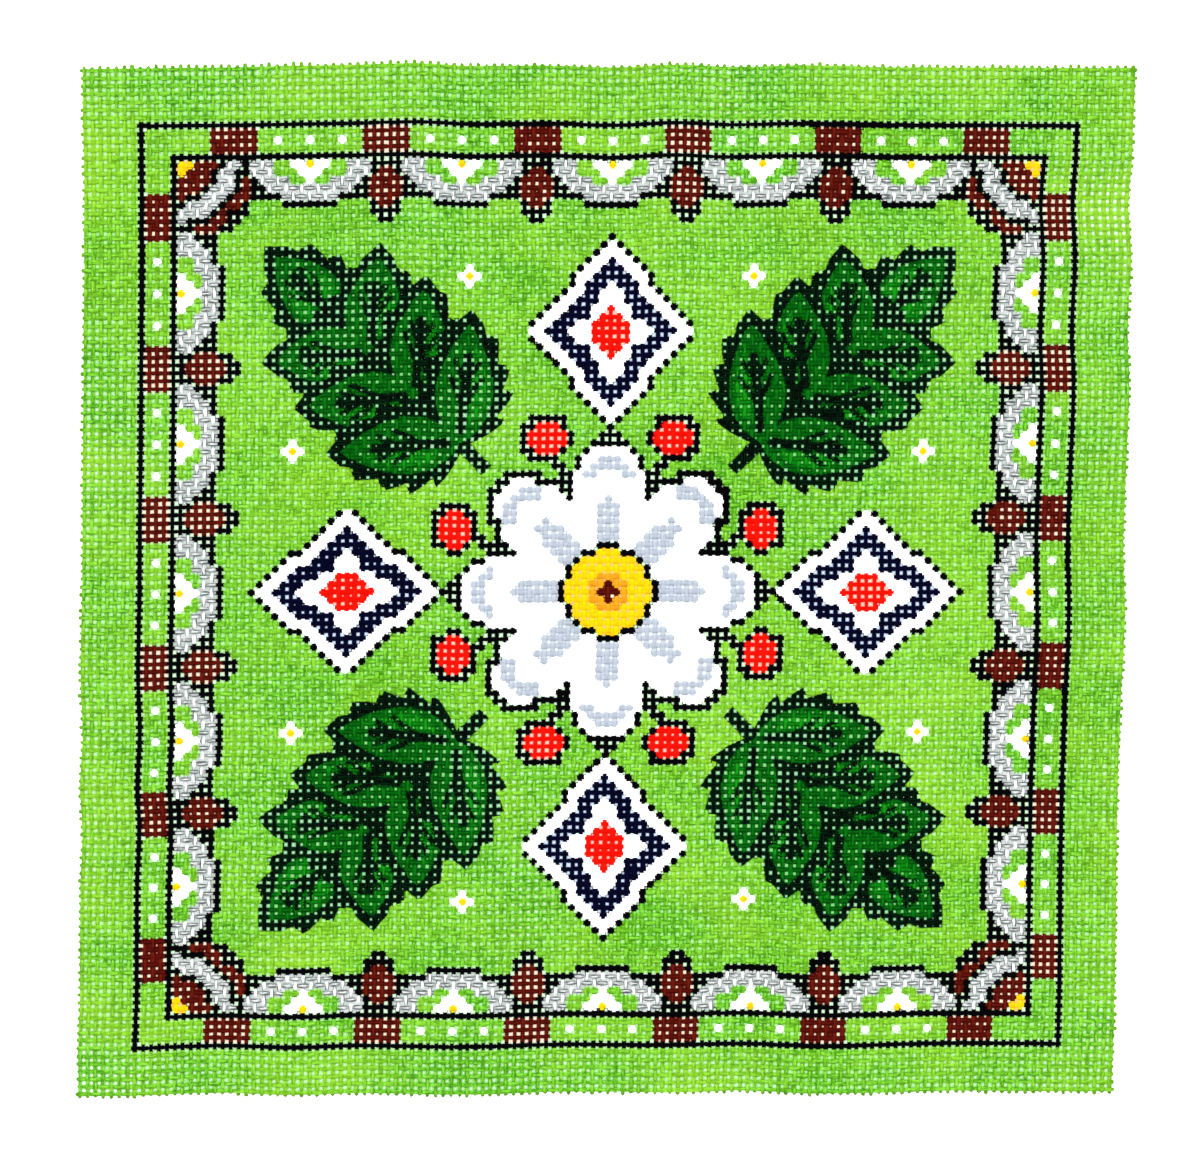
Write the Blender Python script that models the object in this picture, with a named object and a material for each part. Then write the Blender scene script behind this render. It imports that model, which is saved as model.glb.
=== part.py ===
"""A needlepoint canvas panel, lying flat with its painted front up.

The panel is one cut piece of sized cotton mono canvas, two threads thick. Its four raw edges
follow the threads, so each side is nearly straight but gently uneven. The weave is drawn in
towards the bottom right, so the right side leans in and the bottom is shorter than the top.

The panel lies on the XY plane with its front facing +Z and its top side towards +Y. The origin
is on the underside, at the middle of the outline's box. Sizes are in millimetres until the mesh
is made, in metres.
"""

from typing import NamedTuple

import bmesh
import bpy
from mathutils import Vector

MM = 0.001  # metres in a millimetre
INCH = 25.4

# The weave: one thread over, one under, counted along the top and the left side.
THREADS_PER_INCH = 13
WARP_THREADS = 133
WEFT_THREADS = 132
THREAD_THICKNESS = 0.55
ROW_PACKING = 0.988  # the rows lie a little closer together than the columns

# The panel, worked out from the weave.
PITCH = INCH / THREADS_PER_INCH
MEAN_WIDTH = WARP_THREADS * PITCH
RIGHT_HEIGHT = WEFT_THREADS * PITCH * ROW_PACKING
SHEET_THICKNESS = 2 * THREAD_THICKNESS

# How far the cut is out of square.
TAPER = 5.0  # the top is longer than the bottom by this
LEFT_LEAN = 1.0  # the left side's foot stands out this far from its head
BOTTOM_DROP = 1.2  # the bottom's left end is this far below its right end

STEPS_PER_SIDE = 44  # one outline point for every third thread

CANVAS_GREEN = (0.18, 0.55, 0.04, 1.0)
CANVAS_ROUGHNESS = 0.75


class Bow(NamedTuple):
    """How far a side stands out from a straight cut, at one place along it."""

    share: float  # 0 at the side's first corner, 1 at its second
    out: float  # millimetres, negative where the side is drawn in


# From the top left corner to the top right one.
TOP_SIDE = (
    Bow(share=0.00, out=0.0),
    Bow(share=0.12, out=0.2),
    Bow(share=0.24, out=0.7),
    Bow(share=0.32, out=1.2),
    Bow(share=0.37, out=0.5),
    Bow(share=0.44, out=0.7),
    Bow(share=0.51, out=0.2),
    Bow(share=0.56, out=1.0),
    Bow(share=0.62, out=0.3),
    Bow(share=0.68, out=0.7),
    Bow(share=0.80, out=0.2),
    Bow(share=1.00, out=0.0),
)

# From the top right corner to the bottom right one.
RIGHT_SIDE = (
    Bow(share=0.00, out=0.0),
    Bow(share=0.09, out=-0.2),
    Bow(share=0.13, out=-1.0),
    Bow(share=0.19, out=0.1),
    Bow(share=0.26, out=-0.4),
    Bow(share=0.31, out=0.4),
    Bow(share=0.45, out=-0.2),
    Bow(share=0.55, out=0.6),
    Bow(share=0.63, out=0.0),
    Bow(share=0.72, out=-0.2),
    Bow(share=0.92, out=0.3),
    Bow(share=1.00, out=0.0),
)

# From the bottom right corner to the bottom left one.
BOTTOM_SIDE = (
    Bow(share=0.00, out=0.0),
    Bow(share=0.15, out=-0.4),
    Bow(share=0.28, out=0.2),
    Bow(share=0.37, out=-0.7),
    Bow(share=0.43, out=-0.3),
    Bow(share=0.52, out=-0.6),
    Bow(share=0.63, out=0.0),
    Bow(share=0.73, out=-0.5),
    Bow(share=0.79, out=0.0),
    Bow(share=0.86, out=-0.6),
    Bow(share=0.96, out=0.2),
    Bow(share=1.00, out=0.0),
)

# From the bottom left corner to the top left one.
LEFT_SIDE = (
    Bow(share=0.00, out=0.0),
    Bow(share=0.05, out=0.1),
    Bow(share=0.10, out=-0.3),
    Bow(share=0.20, out=-0.3),
    Bow(share=0.26, out=-0.9),
    Bow(share=0.30, out=-0.2),
    Bow(share=0.35, out=-0.8),
    Bow(share=0.41, out=-0.2),
    Bow(share=0.52, out=-0.5),
    Bow(share=0.67, out=-0.6),
    Bow(share=0.87, out=-0.6),
    Bow(share=1.00, out=0.0),
)


def clear_scene():
    """Remove every object of the scene."""
    for thing in list(bpy.data.objects):
        bpy.data.objects.remove(thing, do_unlink=True)


def cotton_material(name, colour, roughness):
    """Return a plain painted cotton material."""
    material = bpy.data.materials.new(name)
    material.use_nodes = True
    shader = material.node_tree.nodes["Principled BSDF"]
    shader.inputs["Base Color"].default_value = colour
    shader.inputs["Roughness"].default_value = roughness
    shader.inputs["Metallic"].default_value = 0.0
    return material


def bow_at(side, share):
    """Return the bow at a share of a side, eased from each row of its table to the next."""
    for before, after in zip(side, side[1:]):
        if share <= after.share:
            t = (share - before.share) / (after.share - before.share)
            ease = t * t * (3 - 2 * t)
            return before.out + (after.out - before.out) * ease
    return side[-1].out


def side_points(start, end, side):
    """Return the points of one side, from its first corner up to just before its second."""
    run = end - start
    outward = Vector((-run.y, run.x)).normalized()  # the outline is walked clockwise
    points = []
    for step in range(STEPS_PER_SIDE):
        share = step / STEPS_PER_SIDE
        points.append(start + run * share + outward * bow_at(side, share))
    return points


def panel_corners():
    """Return the four corners, clockwise from the top left."""
    left, right = -MEAN_WIDTH / 2, MEAN_WIDTH / 2
    bottom, top = -RIGHT_HEIGHT / 2, RIGHT_HEIGHT / 2
    return (
        Vector((left, top)),
        Vector((right + TAPER / 2, top)),
        Vector((right - TAPER / 2 - LEFT_LEAN, bottom)),
        Vector((left - LEFT_LEAN, bottom - BOTTOM_DROP)),
    )


def panel_outline():
    """Return the whole outline, clockwise, centred on the middle of its own box."""
    corners = panel_corners()
    sides = (TOP_SIDE, RIGHT_SIDE, BOTTOM_SIDE, LEFT_SIDE)
    points = []
    for number, side in enumerate(sides):
        points += side_points(corners[number], corners[(number + 1) % len(corners)], side)
    xs = [point.x for point in points]
    ys = [point.y for point in points]
    middle = Vector(((min(xs) + max(xs)) / 2, (min(ys) + max(ys)) / 2))
    return [point - middle for point in points]


def build_canvas():
    """Make the canvas: the outline's face, extruded to the sheet's thickness."""
    sheet = bmesh.new()
    rim = [sheet.verts.new((point.x * MM, point.y * MM, 0.0)) for point in panel_outline()]
    back = sheet.faces.new(rim)
    raised = bmesh.ops.extrude_face_region(sheet, geom=[back], use_keep_orig=True)
    front_verts = [item for item in raised["geom"] if isinstance(item, bmesh.types.BMVert)]
    bmesh.ops.translate(sheet, verts=front_verts, vec=(0.0, 0.0, SHEET_THICKNESS * MM))
    bmesh.ops.recalc_face_normals(sheet, faces=sheet.faces)
    bmesh.ops.triangulate(sheet, faces=sheet.faces)
    mesh = bpy.data.meshes.new("canvas")
    sheet.to_mesh(mesh)
    sheet.free()
    mesh.materials.append(cotton_material("canvas", CANVAS_GREEN, CANVAS_ROUGHNESS))
    canvas = bpy.data.objects.new("canvas", mesh)
    bpy.context.scene.collection.objects.link(canvas)
    return canvas


clear_scene()
build_canvas()
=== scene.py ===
"""The looks of a needlepoint canvas panel, lying flat with its painted front up.

Every thread of the plain weave is a modelled tube that goes over one neighbour and under the
next. A thin film of starch size lies in the weave, rounds the corners of its holes and closes
them where paint has filled it. The paint follows the threads: charted motifs change colour
half-way between two crossings, and brushed ones run across them. The four raw edges end in cut
threads with loose fibres.

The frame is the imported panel: metres, +Z out of the painted front, +Y towards the top side.
"""

import logging
import math
from dataclasses import dataclass, field, fields
from enum import Enum

import bpy
import numpy as np
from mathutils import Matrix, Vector


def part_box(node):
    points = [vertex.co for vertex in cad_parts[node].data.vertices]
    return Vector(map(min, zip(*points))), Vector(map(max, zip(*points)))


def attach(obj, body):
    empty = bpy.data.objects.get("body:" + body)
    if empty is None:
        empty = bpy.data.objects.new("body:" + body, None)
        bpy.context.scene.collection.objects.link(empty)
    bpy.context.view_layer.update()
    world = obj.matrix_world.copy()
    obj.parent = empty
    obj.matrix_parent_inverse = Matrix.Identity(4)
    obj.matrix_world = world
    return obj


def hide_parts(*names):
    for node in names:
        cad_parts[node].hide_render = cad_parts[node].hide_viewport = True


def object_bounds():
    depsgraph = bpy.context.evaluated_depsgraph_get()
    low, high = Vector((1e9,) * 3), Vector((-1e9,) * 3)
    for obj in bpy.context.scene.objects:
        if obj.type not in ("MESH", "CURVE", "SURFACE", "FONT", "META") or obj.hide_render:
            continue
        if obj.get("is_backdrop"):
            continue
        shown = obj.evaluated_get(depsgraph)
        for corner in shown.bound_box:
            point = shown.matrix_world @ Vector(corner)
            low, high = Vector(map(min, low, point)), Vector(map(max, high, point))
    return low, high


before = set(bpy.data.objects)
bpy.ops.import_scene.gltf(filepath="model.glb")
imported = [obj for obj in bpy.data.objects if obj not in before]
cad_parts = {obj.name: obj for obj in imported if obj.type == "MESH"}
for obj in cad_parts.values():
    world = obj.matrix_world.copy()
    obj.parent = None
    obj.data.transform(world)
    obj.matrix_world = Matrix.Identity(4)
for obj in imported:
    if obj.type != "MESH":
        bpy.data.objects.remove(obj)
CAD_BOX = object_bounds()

MM = 0.001
BODY = "root"
NODE = "canvas"
LOG = logging.getLogger("canvas_panel")
THREAD_LIGHT = 1.56  # how brightly the studio lights the threads
SIZE_LIGHT = 1.3  # and the film of size between them
SHARP_ANGLE = 72.0  # faces that meet at more than this, in degrees, meet at an edge

AHEAD = 0.25  # a thread's direction is taken over this far each way, in threads
HALF_WAY = 0.49  # just short of half-way to the next crossing
YARN_APART = 3.7  # sets each thread's noise apart from the next one's
STRIP_GAP = 0.6  # between two threads' strips in the map, in sides of a thread
OUTLIER = 2.0  # random lengths stop at this many deviations

Array = np.ndarray
Colour = tuple[float, float, float, float]
Span = tuple[float, float]
Triple = tuple[float, float, float]


def srgb(red: int, green: int, blue: int, light: float = 1.0) -> Colour:
    """Return the surface colour that shows as an sRGB one.

    Args:
        red: Red, 0 to 255.
        green: Green, 0 to 255.
        blue: Blue, 0 to 255.
        light: How brightly the surface is lit.

    Returns:
        The linear colour, with an alpha of 1.
    """
    channels = []
    for value in (red, green, blue):
        share = value / 255
        shown = share / 12.92 if share <= 0.04045 else ((share + 0.055) / 1.055) ** 2.4
        channels.append(shown / light)
    return (*channels, 1.0)


def paint(red: int, green: int, blue: int) -> Colour:
    """Return the colour of a paint that shows as an sRGB one on a thread."""
    return srgb(red, green, blue, THREAD_LIGHT)


def wash(red: int, green: int, blue: int) -> Colour:
    """Return the colour of a paint that shows as an sRGB one on the film of size."""
    return srgb(red, green, blue, SIZE_LIGHT)


# ---------------------------------------------------------------------------------------------
# The lattice of crossings
# ---------------------------------------------------------------------------------------------


class PanelOutline:
    """The panel's four sides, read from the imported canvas."""

    def __init__(self, node: bpy.types.Object) -> None:
        """Read the outline's points and part them into sides.

        Args:
            node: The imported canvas, a flat slab.
        """
        spots = {(round(v.co.x, 6), round(v.co.y, 6)) for v in node.data.vertices}
        ring = np.array(sorted(spots, key=lambda spot: -math.atan2(spot[1], spot[0])))
        x, y = ring[:, 0], ring[:, 1]
        ring = np.roll(ring, -int(np.argmax(y - x)), axis=0)
        x, y = ring[:, 0], ring[:, 1]
        top_right, bottom_right = int(np.argmax(x + y)), int(np.argmax(x - y))
        bottom_left = int(np.argmax(-x - y))
        self.top = ring[: top_right + 1]
        self.right = ring[top_right : bottom_right + 1]
        self.bottom = ring[bottom_right : bottom_left + 1][::-1]
        self.left = np.vstack([ring[bottom_left:], ring[:1]])[::-1]
        self.area = abs(float(np.sum(x * np.roll(y, -1) - y * np.roll(x, -1)))) / 2

    @staticmethod
    def along(side: Array, share: Array) -> Array:
        """Return the points at shares of a side.

        Args:
            side: The side's points, in order.
            share: 0 at its first corner and 1 at its second.

        Returns:
            The points, with a last axis of X and Y.
        """
        chord = side[-1] - side[0]
        steps = (side - side[0]) @ chord / (chord @ chord)
        return np.stack([np.interp(share, steps, side[:, axis]) for axis in (0, 1)], axis=-1)

    def inside(self, across: Array, down: Array) -> Array:
        """Return the points of the sheet that its four sides span between them.

        Args:
            across: Share of the way from the left side to the right one.
            down: Share of the way from the top side to the bottom one.

        Returns:
            The points, with a last axis of X and Y.
        """
        u, v = across[..., None], down[..., None]
        sides = (1 - v) * self.along(self.top, across) + v * self.along(self.bottom, across)
        sides += (1 - u) * self.along(self.left, down) + u * self.along(self.right, down)
        corners = (1 - u) * (1 - v) * self.top[0] + u * (1 - v) * self.top[-1]
        corners += (1 - u) * v * self.bottom[0] + u * v * self.bottom[-1]
        return sides - corners


def smooth_rows(rows: Array, spread: float) -> Array:
    """Return rows smoothed by a bell curve that keeps the deviation of plain noise.

    Args:
        rows: The rows, each longer than the result by bell_reach on both sides.
        spread: How many places they are smoothed over.

    Returns:
        The smooth rows.
    """
    reach = bell_reach(spread)
    bell = np.exp(-0.5 * (np.arange(-reach, reach + 1) / spread) ** 2)
    bell /= np.sqrt(np.sum(bell**2))
    return np.stack([np.convolve(row, bell, mode="valid") for row in rows])


def bell_reach(spread: float) -> int:
    """Return how many places the bell curve reaches to each side: three deviations."""
    return int(3 * spread)


def soft_noise(rng: np.random.Generator, rows: int, length: int, spread: float) -> Array:
    """Return rows of smooth noise, each with a deviation of about 1.

    Args:
        rng: The seeded generator.
        rows: How many rows.
        length: How long each row is.
        spread: How many places the noise is smoothed over.

    Returns:
        The noise, rows by length.
    """
    return smooth_rows(rng.normal(size=(rows, length + 2 * bell_reach(spread))), spread)


def soft_patches(rng: np.random.Generator, rows: int, columns: int, spread: float) -> Array:
    """Return smooth noise over a grid, with a deviation of about 1.

    Args:
        rng: The seeded generator.
        rows: How many rows.
        columns: How many columns.
        spread: How many places the noise is smoothed over, both ways.

    Returns:
        The noise, rows by columns.
    """
    along = soft_noise(rng, columns, rows, spread).T
    reach = bell_reach(spread)
    return smooth_rows(np.pad(along, ((0, 0), (reach, reach)), mode="reflect"), spread)


@dataclass
class Lattice:
    """Where the threads cross, in the panel's own uneven outline."""

    outline: PanelOutline
    warps: int = 133
    wefts: int = 132
    column_drift: float = 0.016  # the columns are this much wider at the left side
    row_drift: float = 0.027  # the rows are this much taller at the top side
    sway: float = 0.05 * MM  # how far a thread wanders along its length
    wander: float = 9.0  # and over how many crossings
    uneven: float = 0.035 * MM  # how far whole threads are out of even spacing
    jitter: float = 0.02 * MM  # how far single crossings are out of line
    open_rows: int = 18  # the weave is opener in so many rows by the edges
    seed: int = 13
    spots: Array = field(init=False)

    def __post_init__(self) -> None:
        """Work out the crossings, with one more thread on each side for the cut ends."""
        across = (np.arange(self.warps) + 0.5) / self.warps
        down = (np.arange(self.wefts) + 0.5) / self.wefts
        across = across + self.column_drift / math.pi * np.sin(math.pi * across)
        down = down + self.row_drift / math.pi * np.sin(math.pi * down)
        grid = self.outline.inside(*np.meshgrid(across, down))
        rng = np.random.default_rng(self.seed)
        shift_x = self.sway * soft_noise(rng, self.warps, self.wefts, self.wander).T
        shift_x += self.uneven * rng.normal(size=(1, self.warps))
        shift_y = self.sway * soft_noise(rng, self.wefts, self.warps, self.wander)
        shift_y += self.uneven * rng.normal(size=(self.wefts, 1))
        grid[..., 0] += shift_x + self.jitter * rng.normal(size=shift_x.shape)
        grid[..., 1] += shift_y + self.jitter * rng.normal(size=shift_y.shape)
        grid = np.vstack([2 * grid[:1] - grid[1:2], grid, 2 * grid[-1:] - grid[-2:-1]])
        left = 2 * grid[:, :1] - grid[:, 1:2]
        right = 2 * grid[:, -1:] - grid[:, -2:-1]
        self.spots = np.hstack([left, grid, right])

    @property
    def pitch(self) -> float:
        """The mean distance between two threads."""
        return math.sqrt(self.outline.area / (self.warps * self.wefts))

    def openness(self, column: Array, row: Array) -> Array:
        """Return how open the weave is at places counted in threads.

        Args:
            column: Place from left to right, 0 at the first warp thread.
            row: Place from top to bottom, 0 at the first weft thread.

        Returns:
            1 at the edges and 0 inside.
        """
        from_edge = both(column, self.warps - 1 - column, row, self.wefts - 1 - row)
        return np.clip(1 - from_edge / self.open_rows, 0.0, 1.0) ** 2

    def at(self, column: Array, row: Array) -> Array:
        """Return the points at places counted in threads.

        Args:
            column: Place from left to right, 0 at the first warp thread.
            row: Place from top to bottom, 0 at the first weft thread.

        Returns:
            The points, with a last axis of X and Y.
        """
        column, row = np.broadcast_arrays(column, row)
        left = np.clip(np.floor(column).astype(int), -1, self.warps - 1)
        above = np.clip(np.floor(row).astype(int), -1, self.wefts - 1)
        u, v = (column - left)[..., None], (row - above)[..., None]
        left, above = left + 1, above + 1
        upper = self.spots[above, left] * (1 - u) + self.spots[above, left + 1] * u
        lower = self.spots[above + 1, left] * (1 - u) + self.spots[above + 1, left + 1] * u
        return upper * (1 - v) + lower * v


# ---------------------------------------------------------------------------------------------
# The painted design. Places are in threads from the middle, and a cover is how far inside a
# shape a place is, in threads.
# ---------------------------------------------------------------------------------------------


class Face(Enum):
    """What a paint lies on."""

    WARP = "warp"  # a thread from the top side to the bottom one
    WEFT = "weft"  # a thread from the left side to the right one
    SIZE = "size"  # the film in the holes


@dataclass(frozen=True)
class Pigment:
    """One paint of the design, in the colours in which it shows."""

    on_warp: Colour
    # On the wefts most paints are a little darker than on the warps: painted shade.
    on_weft: Colour
    on_size: Colour  # where it has run thin into the holes
    fill: float = 0.0  # how far it closes the holes between its own crossings
    charted: bool = True  # painted crossing by crossing, and not brushed across them
    ragged: float = 0.3  # how uneven its edge is, as a share of the gap between threads
    short: float = 0.0  # how far it stays short of half-way to the next crossing
    line: Colour | None = None  # the dark colour of broken fine lines along the sides of its threads, painted shade
    dip: float = 0.0  # how far its threads darken to the lines' colour at the sides and in dips, painted shade
    gather: float = 0.0  # how much nearer to a hole's middle it stays thick


WHITE_PAINT = srgb(248, 248, 248)


class Coat(Enum):
    """The paints of the design, from the first laid to the last."""

    LEAF_INK = Pigment(
        paint(2, 6, 3), paint(2, 5, 3), wash(146, 210, 156),
        fill=0.4, charted=False, ragged=0.2, line=paint(0, 34, 12), gather=0.14,
    )
    LEAF = Pigment(
        paint(6, 112, 14), paint(3, 98, 10), wash(124, 204, 120),
        fill=0.4, charted=False, ragged=0.4, line=paint(1, 68, 8), gather=0.14,
    )
    LEAF_LIGHT = Pigment(
        paint(20, 148, 20), paint(10, 130, 14), wash(120, 200, 112),
        fill=0.45, charted=False, ragged=0.8, line=paint(3, 92, 10), gather=0.14,
    )
    # Silver's wefts are greyer than its warps: painted shade.
    SILVER = Pigment(
        WHITE_PAINT, paint(234, 239, 238), wash(180, 194, 188),
        fill=0.8, ragged=0.6, line=paint(94, 102, 102), dip=0.62,
    )
    BRICK = Pigment(
        paint(104, 24, 10), paint(92, 17, 7), wash(250, 224, 198),
        fill=0.34, ragged=0.6, line=paint(64, 8, 4), gather=0.1,
    )
    WHITE = Pigment(WHITE_PAINT, WHITE_PAINT, WHITE_PAINT, fill=1.0)
    SHADE = Pigment(
        paint(192, 201, 214), paint(184, 193, 206), wash(226, 234, 242), fill=0.9
    )
    YELLOW = Pigment(paint(255, 217, 8), paint(255, 208, 10), wash(248, 188, 112), fill=1.0)
    ORANGE = Pigment(paint(248, 170, 30), paint(240, 158, 30), wash(236, 170, 104), fill=1.0)
    NAVY = Pigment(
        paint(3, 4, 36), paint(2, 3, 30), wash(196, 214, 240), fill=0.4, gather=0.06
    )
    RED = Pigment(
        paint(255, 20, 6), paint(238, 14, 4), wash(238, 190, 170), fill=0.45, gather=0.06
    )
    INK = Pigment(
        paint(2, 2, 5), paint(2, 2, 4), wash(208, 244, 204), ragged=0.45, short=0.05
    )

    @property
    def attribute(self) -> str:
        """The name of the mesh attribute that holds this coat's mask."""
        return "coat_" + self.name.lower()


BARE = -1
UNDER = 0.25  # the mask where a coat reaches under its neighbour's
CHARTED = [coat for coat in Coat if coat.value.charted]
Rings = tuple[tuple[Coat | None, float], ...]  # coats, and how far inside a shape each begins
LINE = 0.5  # half the width of a line of one crossing
DOT = 0.6  # half the width of a dot of one crossing


def disc(x: Array, y: Array, radius: float) -> Array:
    """Return the cover of a disc about the middle."""
    return radius - np.hypot(x, y)


def ellipse(x: Array, y: Array, half_x: float, half_y: float) -> Array:
    """Return the cover of an ellipse about the middle."""
    return (1 - np.hypot(x / half_x, y / half_y)) * min(half_x, half_y)


def diamond(x: Array, y: Array, half_x: float, half_y: float) -> Array:
    """Return the cover of a diamond about the middle."""
    return (1 - np.abs(x) / half_x - np.abs(y) / half_y) * min(half_x, half_y)


def both(*covers: Array) -> Array:
    """Return the cover of what several shapes share."""
    return np.minimum.reduce(np.broadcast_arrays(*covers))


def turn(x: Array, y: Array, degrees: float) -> tuple[Array, Array]:
    """Return places as seen from axes turned by an angle."""
    c, s = math.cos(math.radians(degrees)), math.sin(math.radians(degrees))
    return c * x + s * y, c * y - s * x


class Chart:
    """Which charted coat is uppermost at each crossing."""

    def __init__(self, columns: int, rows: int) -> None:
        """Lay out a bare chart.

        Args:
            columns: How many warp threads there are.
            rows: How many weft threads there are.
        """
        column, row = np.meshgrid(np.arange(columns), np.arange(rows))
        self.x = (column - columns // 2).astype(float)
        self.y = (rows // 2 - row).astype(float)
        self.top = np.full(column.shape, BARE)

    def lay(self, coat: Coat | None, *shapes: Array) -> None:
        """Lay a coat over what is there.

        Args:
            coat: The paint, or None to leave the place bare.
            *shapes: It is laid where all of these shapes are.
        """
        self.top[both(*shapes) > 0] = BARE if coat is None else CHARTED.index(coat)

    def lay_rings(self, cover: Array, rings: Rings, *within: Array) -> None:
        """Lay one coat inside another.

        Args:
            cover: The cover of the outermost shape.
            rings: Pairs of a coat and how far inside the shape it begins.
            *within: All are laid only where these shapes are.
        """
        for coat, edge in rings:
            self.lay(coat, cover - edge, *within)

    def arms(self) -> tuple[Array, Array]:
        """Return each crossing's place along the nearest of the four arms, and beside it."""
        wide, tall = np.abs(self.x), np.abs(self.y)
        return np.maximum(wide, tall), np.minimum(wide, tall)

    def mask(self, coat: Coat) -> Array:
        """Return a coat's mask, which reaches one crossing further under the later coats.

        This way no bare ground shows between two coats.

        Args:
            coat: The charted coat.

        Returns:
            Rows by columns, above 0 where the coat is laid.
        """
        order = CHARTED.index(coat)
        on = np.pad(self.top == order, 1)
        near = on[:-2, 1:-1] | on[2:, 1:-1] | on[1:-1, :-2] | on[1:-1, 2:]
        mask = np.where(near & (self.top > order), UNDER, -1.0)
        return np.where(self.top == order, 1.0, mask) - coat.value.short


@dataclass(frozen=True)
class Rosette:
    """The middle flower: white petals about a yellow eye."""

    petals: int = 8
    petal_middle: float = 12.0
    petal_length: float = 6.8
    petal_width: float = 4.5
    petal_rings: Rings = ((Coat.INK, -1.0), (Coat.WHITE, 0.0))
    crease: Triple = (-4.2, 4.6, 1.9)  # its middle, half length and half width
    crease_rim: float = 0.5  # it keeps this far inside the petal
    shade: Span = (1.4, 0.6)  # the shaded rim's middle, inside the petal, and half width
    shade_from: float = 2.2  # it begins this far out from the petal's middle
    eye: float = 5.3
    eye_rings: Rings = (
        (Coat.INK, -1.0), (Coat.YELLOW, 0.0), (Coat.ORANGE, 2.9), (Coat.BRICK, 4.1)
    )

    def paint(self, chart: Chart) -> None:
        """Lay the flower's shapes.

        Args:
            chart: What they are laid on.
        """
        reach = np.hypot(chart.x, chart.y)
        step = 2 * math.pi / self.petals
        angle = (np.arctan2(chart.y, chart.x) + step / 2) % step - step / 2
        out, side = reach * np.cos(angle) - self.petal_middle, reach * np.sin(angle)
        petal = ellipse(out, side, self.petal_length, self.petal_width)
        chart.lay_rings(petal, self.petal_rings)
        middle, half_length, half_width = self.crease
        crease = ellipse(out - middle, side, half_length, half_width)
        chart.lay(Coat.SHADE, petal - self.crease_rim, crease)
        middle, half_width = self.shade
        rim = half_width - np.abs(petal - middle)
        chart.lay(Coat.SHADE, rim, out - self.shade_from)
        chart.lay_rings(self.eye - reach, self.eye_rings)


@dataclass(frozen=True)
class Berries:
    """Red berries between the petals' tips."""

    count: int = 8
    reach: float = 21.2
    radius: float = 3.3
    rings: Rings = ((Coat.INK, 0.0), (Coat.RED, 1.0))
    stalk: float = 3.0  # half its length

    def paint(self, chart: Chart) -> None:
        """Lay the berries' shapes.

        Args:
            chart: What they are laid on.
        """
        step = 2 * math.pi / self.count
        angle = np.arctan2(chart.y, chart.x) % step - step / 2
        reach = np.hypot(chart.x, chart.y)
        out, side = reach * np.cos(angle) - self.reach, reach * np.sin(angle)
        chart.lay(Coat.INK, DOT - np.abs(side), self.stalk - np.abs(out + self.radius))
        chart.lay_rings(disc(out, side, self.radius), self.rings)


@dataclass(frozen=True)
class Lozenge:
    """A navy and white lozenge with a red heart, on each of the four arms."""

    middle: float = 33.0
    half_length: float = 13.0
    half_width: float = 11.0
    rings: Rings = (
        (Coat.INK, 0.0), (Coat.WHITE, 1.0), (Coat.NAVY, 2.8), (Coat.WHITE, 6.4), (Coat.RED, 7.9)
    )
    pearl: float = 1.5
    pearls: tuple[Span, ...] = ((5.0, 0.0), (-5.0, 0.0), (0.0, 4.0))

    def paint(self, chart: Chart) -> None:
        """Lay the lozenges' shapes.

        Args:
            chart: What they are laid on.
        """
        out, side = chart.arms()
        out = out - self.middle
        whole = diamond(out, side, self.half_length, self.half_width)
        chart.lay_rings(whole, self.rings)
        for place_out, place_side in self.pearls:
            pearl = diamond(out - place_out, side - place_side, self.pearl, self.pearl)
            chart.lay(Coat.WHITE, pearl)


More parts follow.
